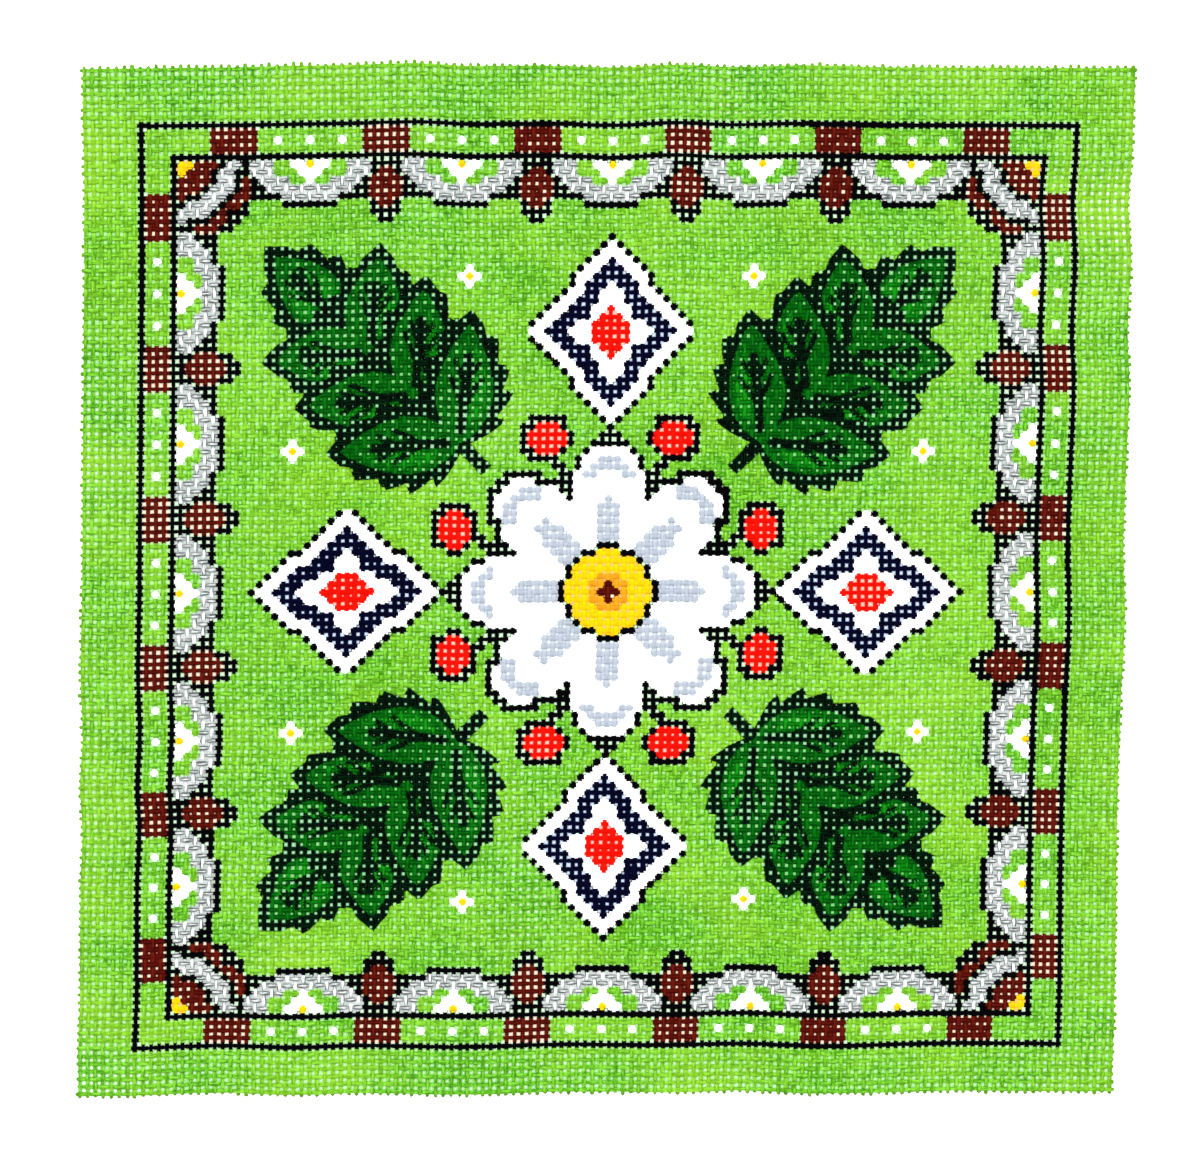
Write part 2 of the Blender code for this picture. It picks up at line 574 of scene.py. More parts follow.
@dataclass(frozen=True)
class SwagBorder:
    """The border: a double line with brick dashes, and silver swags that hang from it."""

    half: float = 57.0
    line: float = 2.0  # the two lines are this far from the border's middle
    swags: int = 5
    step: float = 19.0
    swag_half_width: float = 9.5
    swag_depth: float = 6.6
    swag_past: float = 1.0  # the outermost ones go this far past their seams
    swag_rings: Rings = ((Coat.INK, 0.0), (Coat.SILVER, 1.0), (None, 3.0))
    bud: float = 2.5
    bud_drop: float = 1.0  # its middle is this far below the line
    bud_rings: Rings = ((Coat.WHITE, 0.0), (Coat.YELLOW, 1.6))
    drop: Triple = (4.0, 3.6, 5.2)  # its middle, half width and length
    drop_rings: Rings = ((Coat.INK, 0.0), (Coat.BRICK, 1.2))
    dash: float = 3.0
    dash_half: float = 1.5  # half its width
    pearl_step: float = 4.0
    pearl_gap: float = 0.8  # the pearls keep this far from the dashes
    corner: float = 9.2
    corner_rings: Rings = (
        (Coat.INK, 0.0), (Coat.SILVER, 1.0), (Coat.INK, 3.0), (Coat.BRICK, 4.0), (Coat.YELLOW, 6.6)
    )

    def paint(self, chart: Chart) -> None:
        """Lay the border's shapes.

        Args:
            chart: What they are laid on.
        """
        from_x, from_y = np.abs(chart.x) - self.half, np.abs(chart.y) - self.half
        out = np.maximum(from_x, from_y)
        along = np.where(from_y > from_x, chart.x, chart.y)
        below = out + self.line
        inside = -below - LINE
        side = (along + self.step / 2) % self.step - self.step / 2
        seam = self.step / 2 - np.abs(side)
        reach = self.swags * self.step / 2 - np.abs(along)
        self.paint_swags(chart, below, side, both(inside, reach + self.swag_past))
        middle, half_width, half_length = self.drop
        drop = diamond(seam, below + middle, half_width, half_length)
        chart.lay_rings(drop, self.drop_rings, inside, reach + self.dash)
        self.paint_corner(chart, from_x + self.line, from_y + self.line)
        chart.lay(Coat.INK, LINE - np.abs(np.abs(out) - self.line))
        band = both(self.dash_half - np.abs(out), reach + self.dash)
        chart.lay(Coat.BRICK, self.dash - seam, band)
        pearl = both(DOT - np.abs(side % self.pearl_step), DOT - np.abs(out))
        chart.lay(Coat.WHITE, pearl, seam - self.dash - self.pearl_gap, band)

    def paint_swags(self, chart: Chart, below: Array, side: Array, within: Array) -> None:
        """Lay the swags.

        Args:
            chart: What they are laid on.
            below: Places from the inner line, negative towards the middle.
            side: Places from the middle of the nearest swag.
            within: Where swags are painted.
        """
        swag = ellipse(side, below, self.swag_half_width, self.swag_depth)
        chart.lay_rings(swag, self.swag_rings, within)
        bud = diamond(side, below + self.bud_drop, self.bud, self.bud)
        chart.lay_rings(bud, self.bud_rings, within)

    def paint_corner(self, chart: Chart, from_x: Array, from_y: Array) -> None:
        """Lay the quarter rounds that fill the border's corners.

        Args:
            chart: What they are laid on.
            from_x: Places from the corner across, negative towards the middle.
            from_y: Places from the corner upwards, negative towards the middle.
        """
        quarter = disc(from_x, from_y, self.corner)
        chart.lay_rings(quarter, self.corner_rings, -from_x - LINE, -from_y - LINE)


@dataclass(frozen=True)
class Sprigs:
    """Small white and yellow sprigs that fill the ground."""

    places: tuple[Span, ...] = ((40.0, 18.0),)
    radius: float = 1.5
    rings: Rings = ((Coat.WHITE, 0.0), (Coat.YELLOW, 1.0))

    def paint(self, chart: Chart) -> None:
        """Lay the sprigs' shapes.

        Args:
            chart: What they are laid on.
        """
        out, side = chart.arms()
        for place_out, place_side in self.places:
            sprig = diamond(out - place_out, side - place_side, self.radius, self.radius)
            chart.lay_rings(sprig, self.rings)


@dataclass(frozen=True)
class LeafSpray:
    """A spray of saw-edged leaves on each diagonal, brushed across the threads."""

    diagonal: float = 45.0
    first_pair: float = 27.0
    pair_step: float = 8.0
    pairs: int = 3
    angle: float = 50.0
    longest: float = 15.0
    shorter: float = 1.6  # each pair is shorter than the last by this
    top_back: float = 3.0  # the topmost leaf starts this far back, and is this much shorter
    half_width: float = 3.6
    widest: float = 0.8  # below 1 the leaf is widest nearer its foot
    blunt: float = 0.85  # below 1 its ends are blunter
    outline: float = 1.9
    tooth: float = 3.4  # the length of one tooth of the saw edge
    bite: float = 1.6
    vein: float = 0.6
    vein_rim: float = 1.0  # the veins keep this far inside the leaf
    vein_end: float = 0.75  # of the leaf's length
    ribs: Span = (0.3, 0.5)  # where side veins leave the middle one
    rib_thin: float = 0.7  # a side vein's width, of the middle one's
    rib_slope: float = 0.55
    lit: Span = (0.2, 0.8)  # where along the leaf its lit side starts and ends
    lit_rim: float = 0.9  # it keeps this far inside the leaf
    stem: Span = (22.0, 50.0)
    stem_half: float = 0.9

    def blade(self, along: Array, side: Array, length: float) -> tuple[Array, Array, Array]:
        """Return one leaf's cover, that of its saw-edged outline, and that of its veins.

        Args:
            along: Places along the leaf from its foot.
            side: Places to the side of its middle vein.
            length: Its length.

        Returns:
            The three covers.
        """
        share = np.clip(along / length, 0.0, 1.0)
        half = self.half_width * np.sin(math.pi * share**self.widest) ** self.blunt
        past = np.maximum(np.maximum(-along, along - length), 0.0)
        leaf = half - np.abs(side) - past
        saw = self.bite * ((along / self.tooth) % 1.0 - 0.5)
        edge = leaf + self.outline + np.where(past > 0.0, 0.0, saw)
        from_foot = along - self.vein_rim
        veins = both(self.vein - np.abs(side), from_foot, self.vein_end * length - along)
        for place in self.ribs:
            from_root = along - place * length
            beside = np.abs(np.abs(side) - self.rib_slope * from_root)
            rib = both(self.rib_thin * self.vein - beside, from_root)
            veins = np.maximum(veins, both(rib, leaf - self.vein_rim))
        return leaf, edge, veins

    def covers(self, x: Array, y: Array) -> dict[Coat, Array]:
        """Return each brushed coat's cover, one leaf painted over another.

        Args:
            x: Places across, in threads.
            y: Places upwards, in threads.

        Returns:
            The cover of each brushed coat.
        """
        out, side = turn(np.abs(x), np.abs(y), self.diagonal)
        side = np.abs(side)
        tip = self.first_pair + self.pairs * self.pair_step - self.top_back
        leaves = [(tip, 0.0, self.longest - self.top_back)]
        for pair in reversed(range(self.pairs)):
            foot = self.first_pair + pair * self.pair_step
            leaves.append((foot, self.angle, self.longest - self.shorter * pair))
        start, end = self.stem
        ink = both(self.stem_half - side, out - start, end - out)
        lit_start, lit_end = self.lit
        green = light = np.full(x.shape, -1.0)
        for foot, angle, length in leaves:
            along, across = turn(out - foot, side, angle)
            leaf, edge, veins = self.blade(along, across, length)
            lit = both(across - self.lit_rim, along - lit_start * length)
            lit = both(lit, lit_end * length - along, leaf - self.lit_rim)
            ink = np.maximum(ink, edge)
            green = np.maximum(np.minimum(green, -edge), both(leaf, -veins))
            light = np.maximum(np.minimum(light, -edge), both(lit, -veins))
        return {Coat.LEAF_INK: ink, Coat.LEAF: green, Coat.LEAF_LIGHT: light}


class PaintedDesign:
    """The whole design: charted motifs over brushed ones."""

    def __init__(self, columns: int, rows: int) -> None:
        """Chart the charted motifs.

        Args:
            columns: How many warp threads there are.
            rows: How many weft threads there are.
        """
        self.chart = Chart(columns, rows)
        for motif in (SwagBorder(), Sprigs(), Lozenge(), Berries(), Rosette()):
            motif.paint(self.chart)
        self.laid = {coat: self.chart.mask(coat) for coat in CHARTED}
        self.brushed = LeafSpray()

    def brushed_covers(self, column: Array, row: Array) -> dict[Coat, Array]:
        """Return the brushed coats' covers at places counted in threads."""
        rows, columns = self.chart.top.shape
        return self.brushed.covers(column - columns // 2, rows // 2 - row)

    def masks(self, column: Array, row: Array) -> dict[Coat, Array]:
        """Return each coat's mask, above 0 where it is painted.

        Args:
            column: Places from left to right, 0 at the first warp thread.
            row: Places from top to bottom, 0 at the first weft thread.

        Returns:
            The masks, from -1 to 1.
        """
        rows, columns = self.chart.top.shape
        crossing = (
            np.clip(np.round(row).astype(int), 0, rows - 1),
            np.clip(np.round(column).astype(int), 0, columns - 1),
        )
        masks = {coat: mask[crossing] for coat, mask in self.laid.items()}
        for coat, cover in self.brushed_covers(column, row).items():
            masks[coat] = np.clip(cover, -1.0, 1.0)
        return masks

    def holes(self) -> tuple[Array, Array]:
        """Return what the paint does in the hole between each four crossings.

        Returns:
            The charted coat that most of the four have, and how far paint fills the hole,
            each rows by columns.
        """
        top = self.chart.top
        four = np.stack([top[:-1, :-1], top[:-1, 1:], top[1:, 1:], top[1:, :-1]], axis=-1)
        fills = np.array([coat.value.fill for coat in CHARTED] + [0.0])
        fill = fills[four].mean(axis=-1)
        a, b, c, d = np.moveaxis(np.sort(four, axis=-1), -1, 0)
        most = np.where(b == c, b, np.where(a == b, a, np.where(c == d, c, a)))
        column, row = np.meshgrid(np.arange(four.shape[1]) + 0.5, np.arange(four.shape[0]) + 0.5)
        for coat, cover in self.brushed_covers(column, row).items():
            fill = np.where((cover > 0) & (most == BARE), coat.value.fill, fill)
        return most, fill


# ---------------------------------------------------------------------------------------------
# Meshes
# ---------------------------------------------------------------------------------------------


@dataclass
class MeshDraft:
    """A mesh in the making: its points, its faces, and what they carry."""

    points: Array
    corners: Array  # every face's corners, one face after another
    counts: Array  # how many corners each face has
    values: dict[str, Array] = field(default_factory=dict)  # by point
    unwrap: Array | None = None  # one place in the map for each corner

    def make(self, name: str, material: bpy.types.Material) -> bpy.types.Object:
        """Make the piece, smooth shaded, in the scene and in the canvas's place.

        Args:
            name: Its name.
            material: What it is dressed in.

        Returns:
            The new piece.
        """
        mesh = bpy.data.meshes.new(name)
        mesh.vertices.add(len(self.points))
        mesh.vertices.foreach_set("co", self.points.astype(np.float32).ravel())
        mesh.loops.add(len(self.corners))
        mesh.loops.foreach_set("vertex_index", self.corners.astype(np.int32))
        mesh.polygons.add(len(self.counts))
        starts = np.concatenate([[0], np.cumsum(self.counts)[:-1]])
        mesh.polygons.foreach_set("loop_start", starts.astype(np.int32))
        mesh.update(calc_edges=True)
        for key, value in self.values.items():
            kind, part = ("FLOAT_VECTOR", "vector") if value.ndim == 2 else ("FLOAT", "value")
            attribute = mesh.attributes.new(key, kind, "POINT")
            attribute.data.foreach_set(part, value.astype(np.float32).ravel())
        if self.unwrap is not None:
            layer = mesh.uv_layers.new(name="OFBake")
            layer.uv.foreach_set("vector", self.unwrap.astype(np.float32).ravel())
        mesh.polygons.foreach_set("use_smooth", np.ones(len(self.counts), dtype=bool))
        mesh.set_sharp_from_angle(angle=math.radians(SHARP_ANGLE))
        mesh.materials.append(material)
        piece = bpy.data.objects.new(name, mesh)
        bpy.context.scene.collection.objects.link(piece)
        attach(piece, BODY)
        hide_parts(NODE)
        mesh.calc_loop_triangles()
        LOG.info("%s: %d triangles", name, len(mesh.loop_triangles))
        return piece


def tube_sides(number: Array) -> Array:
    """Return the faces along tubes.

    Args:
        number: The points' numbers, tubes by rings by sides.

    Returns:
        The four corners of each face.
    """
    following = np.roll(number, -1, axis=2)
    corners = [number[:, :-1], number[:, 1:], following[:, 1:], following[:, :-1]]
    return np.stack(corners, axis=-1)


@dataclass(frozen=True)
class ThreadShape:
    """One cotton thread: its flattened section and how its cut end stands out."""

    half_width: float = 0.545 * MM
    slub: float = 0.06  # how much its width varies slowly along it
    slub_length: float = 4.0  # over how many rings
    knots: float = 0.05  # how much it varies from crossing to crossing
    knot_length: float = 0.8
    bulk: float = 0.03  # how much whole threads vary
    thinner: float = 0.07  # how much thinner it is by the edges
    hold: float = 0.17  # how far each side of a crossing it lies level, in threads
    over: float = 0.75  # how high its middle is where it goes over, of the sheet's thickness
    dip: float = 0.5  # how much lower that is where it goes under
    end: float = 0.42  # how far past the last crossing it is cut, in threads
    end_spread: float = 0.08
    end_point: float = 0.13
    end_sunk: Span = (0.2, 0.8)  # how far it dips at a cut end, past going over and under
    end_narrow: float = 0.92  # the last ring's share of the width
    end_flat: float = 0.8  # and of the thickness
    # Round the section: to the side in half widths, up in half thicknesses, and painted share.
    section: tuple[Triple, ...] = (
        (0.0, 1.0, 1.0),
        (0.96, 0.22, 0.9),
        (0.56, -1.0, 0.0),
        (-0.56, -1.0, 0.0),
        (-0.96, 0.22, 0.9),
    )
    # How far round the section each point is from its crown, in half widths.
    round_way: tuple[float, ...] = (0.0, 1.15, 2.3, -2.3, -1.15)


@dataclass
class ThreadBand:
    """A run of neighbouring threads, made as one mesh of closed tubes."""

    face: Face
    first: int
    last: int
    lattice: Lattice
    design: PaintedDesign
    thickness: float
    shape: ThreadShape = ThreadShape()
    number: Array = field(init=False)  # the threads' numbers, in a column
    crossed: int = field(init=False)  # how many threads they cross
    rng: np.random.Generator = field(init=False)
    tips: Array = field(init=False)  # where the cut ends close, threads by ends
    ring_middles: Array = field(init=False)  # the middles of the rings next to them

    def __post_init__(self) -> None:
        """Number the threads, and note how many they cross."""
        self.number = np.arange(self.first, self.last)[:, None]
        lattice = self.lattice
        self.crossed = lattice.wefts if self.face is Face.WARP else lattice.warps
        self.rng = np.random.default_rng([self.first, self.crossed])

    def stations(self) -> tuple[Array, Array]:
        """Return where each thread's rings are, and which crossing each belongs to.

        Returns:
            Places along the threads, counted in crossings, threads by rings, and the
            crossing of each ring.
        """
        crossing = np.repeat(np.arange(self.crossed), 2)
        level = crossing + np.tile([-self.shape.hold, self.shape.hold], self.crossed)
        count = len(self.number)
        place = np.tile(level, (count, 1))
        most = OUTLIER * self.shape.end_spread
        loose = self.rng.normal(0.0, self.shape.end_spread, size=(count, 2))
        loose = np.clip(loose, -most, most)
        start = -self.shape.end - loose[:, :1]
        end = self.crossed - 1 + self.shape.end + loose[:, 1:]
        place = np.hstack([start, place, end])
        return place, np.concatenate([[0], crossing, [self.crossed - 1]])

    def columns_and_rows(self, number: Array, place: Array) -> tuple[Array, Array]:
        """Return threads' numbers and places along them as the lattice's columns and rows."""
        return (number, place) if self.face is Face.WARP else (place, number)

    def centre_line(self, place: Array) -> tuple[Array, Array]:
        """Return the threads' points and the way to their side.

        Args:
            place: Places along the threads, threads by rings.

        Returns:
            The points and the unit vectors to the side, each with a last axis of X and Y.
        """
        before, line, after = [
            self.lattice.at(*self.columns_and_rows(self.number, place + ahead))
            for ahead in (-AHEAD, 0.0, AHEAD)
        ]
        way = after - before
        way /= np.linalg.norm(way, axis=-1, keepdims=True)
        side = np.stack([-way[..., 1], way[..., 0]], axis=-1)
        return line, side

    def sunk(self, crossing: Array) -> Array:
        """Return how far each ring lies under the crossed thread.

        Args:
            crossing: The crossing of each ring.

        Returns:
            Threads by rings, 0 where the thread goes over and 1 where it goes under.
        """
        over = (self.number + crossing) % 2 == (0 if self.face is Face.WARP else 1)
        sunk = np.where(over, 0.0, 1.0)
        sunk[:, [0, -1]] = np.where(over[:, [0, -1]], *self.shape.end_sunk)
        return sunk

    def make(self, name: str, material: bpy.types.Material) -> bpy.types.Object:
        """Make the band.

        Args:
            name: The piece's name.
            material: What it is dressed in.

        Returns:
            The new piece.
        """
        place, crossing = self.stations()
        line, side = self.centre_line(place)
        rings = place.shape[1]
        section = np.array(self.shape.section)
        half_width = self.half_widths(place)
        tall = np.full(rings, self.thickness / 4)  # half a thread's thickness
        tall[[0, -1]] *= self.shape.end_flat
        points = np.zeros((*place.shape, len(section), 3))
        lateral = half_width[..., None] * section[:, 0]
        points[..., :2] = line[:, :, None] + side[:, :, None] * lateral[..., None]
        sunk = self.sunk(crossing)[..., None]
        middle = self.thickness * (self.shape.over - self.shape.dip * sunk)
        points[..., 2] = middle + tall[:, None] * section[:, 1]
        self.close_ends(place, points)
        draft = self.connect(points, place)
        self.add_values(draft, place, lateral, half_width)
        draft.values["sunk"] = self.with_tips(sunk + 0 * lateral)
        return draft.make(name, material)

    def half_widths(self, place: Array) -> Array:
        """Return the threads' half widths, which swell, shrink and thin towards the edges.

        Args:
            place: Places along the threads, threads by rings.

        Returns:
            The half widths, threads by rings.
        """
        shape = self.shape
        fat = 1 + shape.slub * soft_noise(self.rng, *place.shape, shape.slub_length)
        fat += shape.knots * soft_noise(self.rng, *place.shape, shape.knot_length)
        fat *= 1 + shape.bulk * self.rng.normal(size=(len(place), 1))
        spots = self.columns_and_rows(self.number, place)
        fat *= 1 - shape.thinner * self.lattice.openness(*spots)
        fat[:, [0, -1]] *= shape.end_narrow
        return shape.half_width * fat

    def close_ends(self, place: Array, points: Array) -> None:
        """Work out the point at which each cut end closes, two for each thread.

        Args:
            place: Places along the threads, threads by rings.
            points: The rings' points.
        """
        self.ring_middles = points[:, [0, -1]].mean(axis=2)
        self.tips = self.ring_middles.copy()
        reach = self.shape.end_point
        outer = np.stack([place[:, 0] - reach, place[:, -1] + reach], axis=1)
        self.tips[..., :2] = self.centre_line(outer)[0]

    def connect(self, points: Array, place: Array) -> MeshDraft:
        """Join the rings into closed tubes, with a map that has one strip for each thread.

        Args:
            points: The rings' points.
            place: Places along the threads, threads by rings.

        Returns:
            The draft of the mesh.
        """
        count, rings, sides = points.shape[:3]
        number = np.arange(count * rings * sides).reshape(count, rings, sides)
        following = np.roll(number, -1, axis=2)
        quads = tube_sides(number)
        tip = count * rings * sides + np.arange(count * 2).reshape(count, 2, 1)
        tip = np.repeat(tip, sides, axis=2)
        start = np.stack([tip[:, 0], number[:, 0], following[:, 0]], axis=-1)
        end = np.stack([tip[:, 1], following[:, -1], number[:, -1]], axis=-1)
        corners = np.concatenate([quads.ravel(), start.ravel(), end.ravel()])
        counts = np.concatenate([np.full(quads.size // 4, 4), np.full(2 * count * sides, 3)])
        all_points = np.vstack([points.reshape(-1, 3), self.tips.reshape(-1, 3)])
        return MeshDraft(all_points, corners, counts, unwrap=self.strips(place, sides))

    def strips(self, place: Array, sides: int) -> Array:
        """Return the map's place of every face corner.

        Args:
            place: Places along the threads, threads by rings.
            sides: How many sides the tubes have.

        Returns:
            The places, corners by two.
        """
        count = len(place)
        u = (place + 1.0) / (self.crossed + 1.0)
        strip = sides + STRIP_GAP
        step = 1.0 / (count * strip)
        low = (np.arange(count)[:, None] * strip + STRIP_GAP / 2 + np.arange(sides)) * step
        u0, u1 = u[:, :-1, None], u[:, 1:, None]
        v0, v1 = low[:, None], low[:, None] + step
        u0, u1, v0, v1 = np.broadcast_arrays(u0, u1, v0, v1)
        quads = np.stack([u0, v0, u1, v0, u1, v1, u0, v1], axis=-1)
        middle = low + step / 2
        tip = self.shape.end_point / (self.crossed + 1.0)
        first = np.broadcast_to(u[:, :1], low.shape)
        last = np.broadcast_to(u[:, -1:], low.shape)
        start = np.stack([first - tip, middle, first, low, first, low + step], axis=-1)
        end = np.stack([last + tip, middle, last, low + step, last, low], axis=-1)
        return np.concatenate([part.reshape(-1, 2) for part in (quads, start, end)])

    def add_values(
        self, draft: MeshDraft, place: Array, lateral: Array, half_width: Array
    ) -> None:
        """Add what the materials read: the coats' masks and the places along the yarn.

        Args:
            draft: The mesh in the making.
            place: Places along the threads, threads by rings.
            lateral: How far to the side each point is.
            half_width: The threads' half widths, threads by rings.
        """
        number = self.number[..., None] + 0 * lateral
        exact = np.clip(place, -HALF_WAY, self.crossed - 1 + HALF_WAY)[..., None] + 0 * lateral
        counted = 1 if self.face is Face.WARP else -1  # a weft's side is up, and rows go down
        aside = counted * lateral / self.lattice.pitch
        masks = self.design.masks(*self.columns_and_rows(number + aside, exact))
        for coat, mask in masks.items():
            draft.values[coat.attribute] = self.with_tips(mask)
        around = half_width[..., None] * np.array(self.shape.round_way) / MM
        along = place[..., None] * self.lattice.pitch / MM + 0 * around
        yarn = np.stack([along, around, YARN_APART * number], axis=-1)
        draft.values["yarn"] = self.with_tips(yarn)
        draft.values["front"] = self.with_tips(np.array(self.shape.section)[:, 2] + 0 * lateral)
        cut = np.maximum(-place, place - self.crossed + 1)[..., None] / self.shape.end
        draft.values["cut"] = self.with_tips(np.clip(cut + 0 * lateral, 0.0, 1.0))

    def with_tips(self, value: Array) -> Array:
        """Return a value by point, with the tips' taken from the rings beside them.

        Args:
            value: The value, threads by rings by sides, and its parts if it has any.

        Returns:
            The value at each of the mesh's points.
        """
        last = value.shape[3:]
        rings, tips = value.reshape(-1, *last), value[:, [0, -1], 0].reshape(-1, *last)
        return np.concatenate([rings, tips])


@dataclass
class FrayedEnds:
    """The loose fibres at the cut ends of the threads."""

    bands: list[ThreadBand]
    fibres: int = 4  # at each end
    sides: int = 3
    steps: int = 2
    length: Span = (0.1 * MM, 0.5 * MM)
    radius: float = 0.06 * MM
    taper: float = 0.5  # how much thinner a fibre is at its tip
    spread: float = 0.36 * MM  # how far from the thread's middle they start
    lift: float = 0.09 * MM  # and how far above it
    splay: float = 0.4
    splay_up: float = 0.12
    bend: float = 0.5
    set_back: float = 0.3 * MM
    lowest: float = 0.08 * MM
    seed: int = 21

    def make(self, name: str, material: bpy.types.Material) -> bpy.types.Object:
        """Make the fibres.

        Args:
            name: The piece's name.
            material: What it is dressed in.

        Returns:
            The new piece.
        """
        tips = np.concatenate([band.tips.reshape(-1, 3) for band in self.bands])
        rings = np.concatenate([band.ring_middles.reshape(-1, 3) for band in self.bands])
        out = tips - rings
        out /= np.linalg.norm(out, axis=1, keepdims=True)
        tips, out = np.repeat(tips, self.fibres, 0), np.repeat(out, self.fibres, 0)
        side = np.column_stack([-out[:, 1], out[:, 0], 0 * out[:, 0]])
        up = np.array([0.0, 0.0, 1.0])
        rng = np.random.default_rng(self.seed)
        count = len(tips)
        off = rng.uniform(-1, 1, size=(count, 1)) * self.spread
        root = tips - self.set_back * out + off * side + self.lift * up
        way = out + side * rng.normal(0, self.splay, size=(count, 1))
        way += up * rng.normal(0, self.splay_up, size=(count, 1))
        length = rng.uniform(*self.length, size=(count, 1, 1)) + self.set_back
        share = np.linspace(0, 1, self.steps + 1)[None, :, None]
        bend = side * rng.normal(0, self.bend, size=(count, 1))
        line = root[:, None] + length * (share * way[:, None] + share**2 * bend[:, None])
        line[..., 2] = np.maximum(line[..., 2], self.lowest)
        angle = 2 * math.pi * np.arange(self.sides) / self.sides
        across = np.cos(angle)[:, None] * side[:, None] + np.sin(angle)[:, None] * up
        radius = self.radius * (1 - self.taper * share)[..., None]
        return self.connect(line[:, :, None] + radius * across[:, None]).make(name, material)

    def connect(self, points: Array) -> MeshDraft:
        """Join the rings into fibres with closed tips.

        Args:
            points: The rings' points, fibres by rings by sides.

        Returns:
            The draft of the mesh.
        """
        number = np.arange(points.size // 3).reshape(points.shape[:3])
        quads = tube_sides(number)
        caps = np.concatenate([number[:, -1, ::-1], number[:, 0]])
        corners = np.concatenate([quads.ravel(), caps.ravel()])
        counts = np.concatenate([np.full(quads.size // 4, 4), np.full(len(caps), self.sides)])
        return MeshDraft(points.reshape(-1, 3), corners, counts)


@dataclass
class SizeFilm:
    """The film of starch size in the weave, which rounds and partly closes the holes."""

    lattice: Lattice
    design: PaintedDesign
    height: float
    opening: float = 0.09 * MM  # from a hole's middle to a corner of its opening
    patchy: float = 0.07 * MM  # how much this varies over soft patches
    patch_size: float = 5.0  # in holes
    uneven: float = 0.03 * MM  # how much it varies from hole to hole
    crooked: float = 0.03 * MM  # how far a corner of an opening is out of place
    edge_more: float = 0.16 * MM  # how much larger the openings are by the edges
    closing: Span = (0.3, 0.9)  # the fill at which a hole starts to close, and is closed
    closing_uneven: float = 0.12
    least: float = 0.08 * MM  # what is smaller has closed
    most: float = 0.74 * MM
    rim_rise: float = 0.15 * MM  # how much higher it lies round a hole than at a crossing
    heap: float = 0.25 * MM  # how much higher still it lies in a hole that is filled
    spill: float = -0.4  # the mask in a hole beside a painted line, so its sides run straight
    thin: Span = (0.95, 0.16)  # how thin the paint has run in a hole, and how uneven that is
    thin_ends: Span = (0.5, 1.2)  # where it stops
    edge_thin: float = 0.15  # how much thinner it has run by the edges
    patch_thin: float = 0.08  # and where the openings are larger
    patch_seed: int = 5
    crooked_seed: int = 6
    thin_seed: int = 7
    uneven_seed: int = 8
    patches: Array = field(init=False)

    def __post_init__(self) -> None:
        """Lay out the soft patches in which the weave is opener or closer."""
        rows, columns = self.lattice.wefts - 1, self.lattice.warps - 1
        rng = np.random.default_rng(self.patch_seed)
        self.patches = soft_patches(rng, rows, columns, self.patch_size)

    def openings(self, fill: Array) -> Array:
        """Return the size of each hole's opening, smaller where paint has pooled.

        Args:
            fill: How far paint fills each hole.

        Returns:
            The openings, rows by columns, in metres, with 0 for the closed ones.
        """
        rows, columns = fill.shape
        single = np.random.default_rng(self.uneven_seed).normal(size=fill.shape)
        size = self.opening + self.patchy * self.patches + self.uneven * single
        column, row = np.meshgrid(np.arange(columns) + 0.5, np.arange(rows) + 0.5)
        size += self.edge_more * self.lattice.openness(column, row)
        start, end = self.closing
        closed = (fill + self.closing_uneven * single - start) / (end - start)
        size *= 1 - np.clip(closed, 0.0, 1.0) * (fill > 0)
        size = np.minimum(size, self.most)
        return np.where(size < self.least, 0.0, size)

    def make(self, name: str, material: bpy.types.Material) -> bpy.types.Object:
        """Make the film.

        Args:
            name: The piece's name.
            material: What it is dressed in.

        Returns:
            The new piece.
        """
        rows, columns = self.lattice.wefts, self.lattice.warps
        column, row = np.meshgrid(np.arange(columns), np.arange(rows))
        crossing = self.lattice.at(column, row).reshape(-1, 2)
        number = np.arange(len(crossing)).reshape(rows, columns)
        posts = np.stack(
            [number[:-1, :-1], number[:-1, 1:], number[1:, 1:], number[1:, :-1]], axis=-1
        ).reshape(-1, 4)
        middle = crossing[posts].mean(axis=1)
        most, fill = self.design.holes()
        opening, most, fill = self.openings(fill).ravel(), most.ravel(), fill.ravel()
        holes, shut = np.flatnonzero(opening > 0), np.flatnonzero(opening == 0)
        flat = np.vstack([crossing, self.rims(middle[holes], opening[holes]), middle[shut]])
        height = np.full(len(flat), self.height)
        height[len(crossing) :] += self.rim_rise
        height[len(flat) - len(shut) :] += self.heap * fill[shut]
        corners = self.faces(posts[holes], posts[shut], len(crossing))
        points = np.column_stack([flat, height])
        draft = MeshDraft(points, corners, np.full(len(corners) // 3, 3))
        low, high = flat.min(axis=0), flat.max(axis=0)
        draft.unwrap = ((flat - low) / (high - low))[corners]
        in_holes = np.concatenate([np.repeat(holes, 4), shut])
        self.add_values(draft, column.ravel(), row.ravel(), in_holes, most)
        return draft.make(name, material)

    def rims(self, middles: Array, openings: Array) -> Array:
        """Return the corners of openings, each a little out of place.

        Args:
            middles: The holes' middles.
            openings: The size of each one's opening.

        Returns:
            The corners, four for each hole.
        """
        arms = np.array([(0.0, 1.0), (1.0, 0.0), (0.0, -1.0), (-1.0, 0.0)])
        crooked = np.random.default_rng(self.crooked_seed).normal(size=(len(middles), 4, 2))
        rims = middles[:, None] + openings[:, None, None] * arms
        rims += self.crooked * np.clip(crooked, -OUTLIER, OUTLIER)
        return rims.reshape(-1, 2)

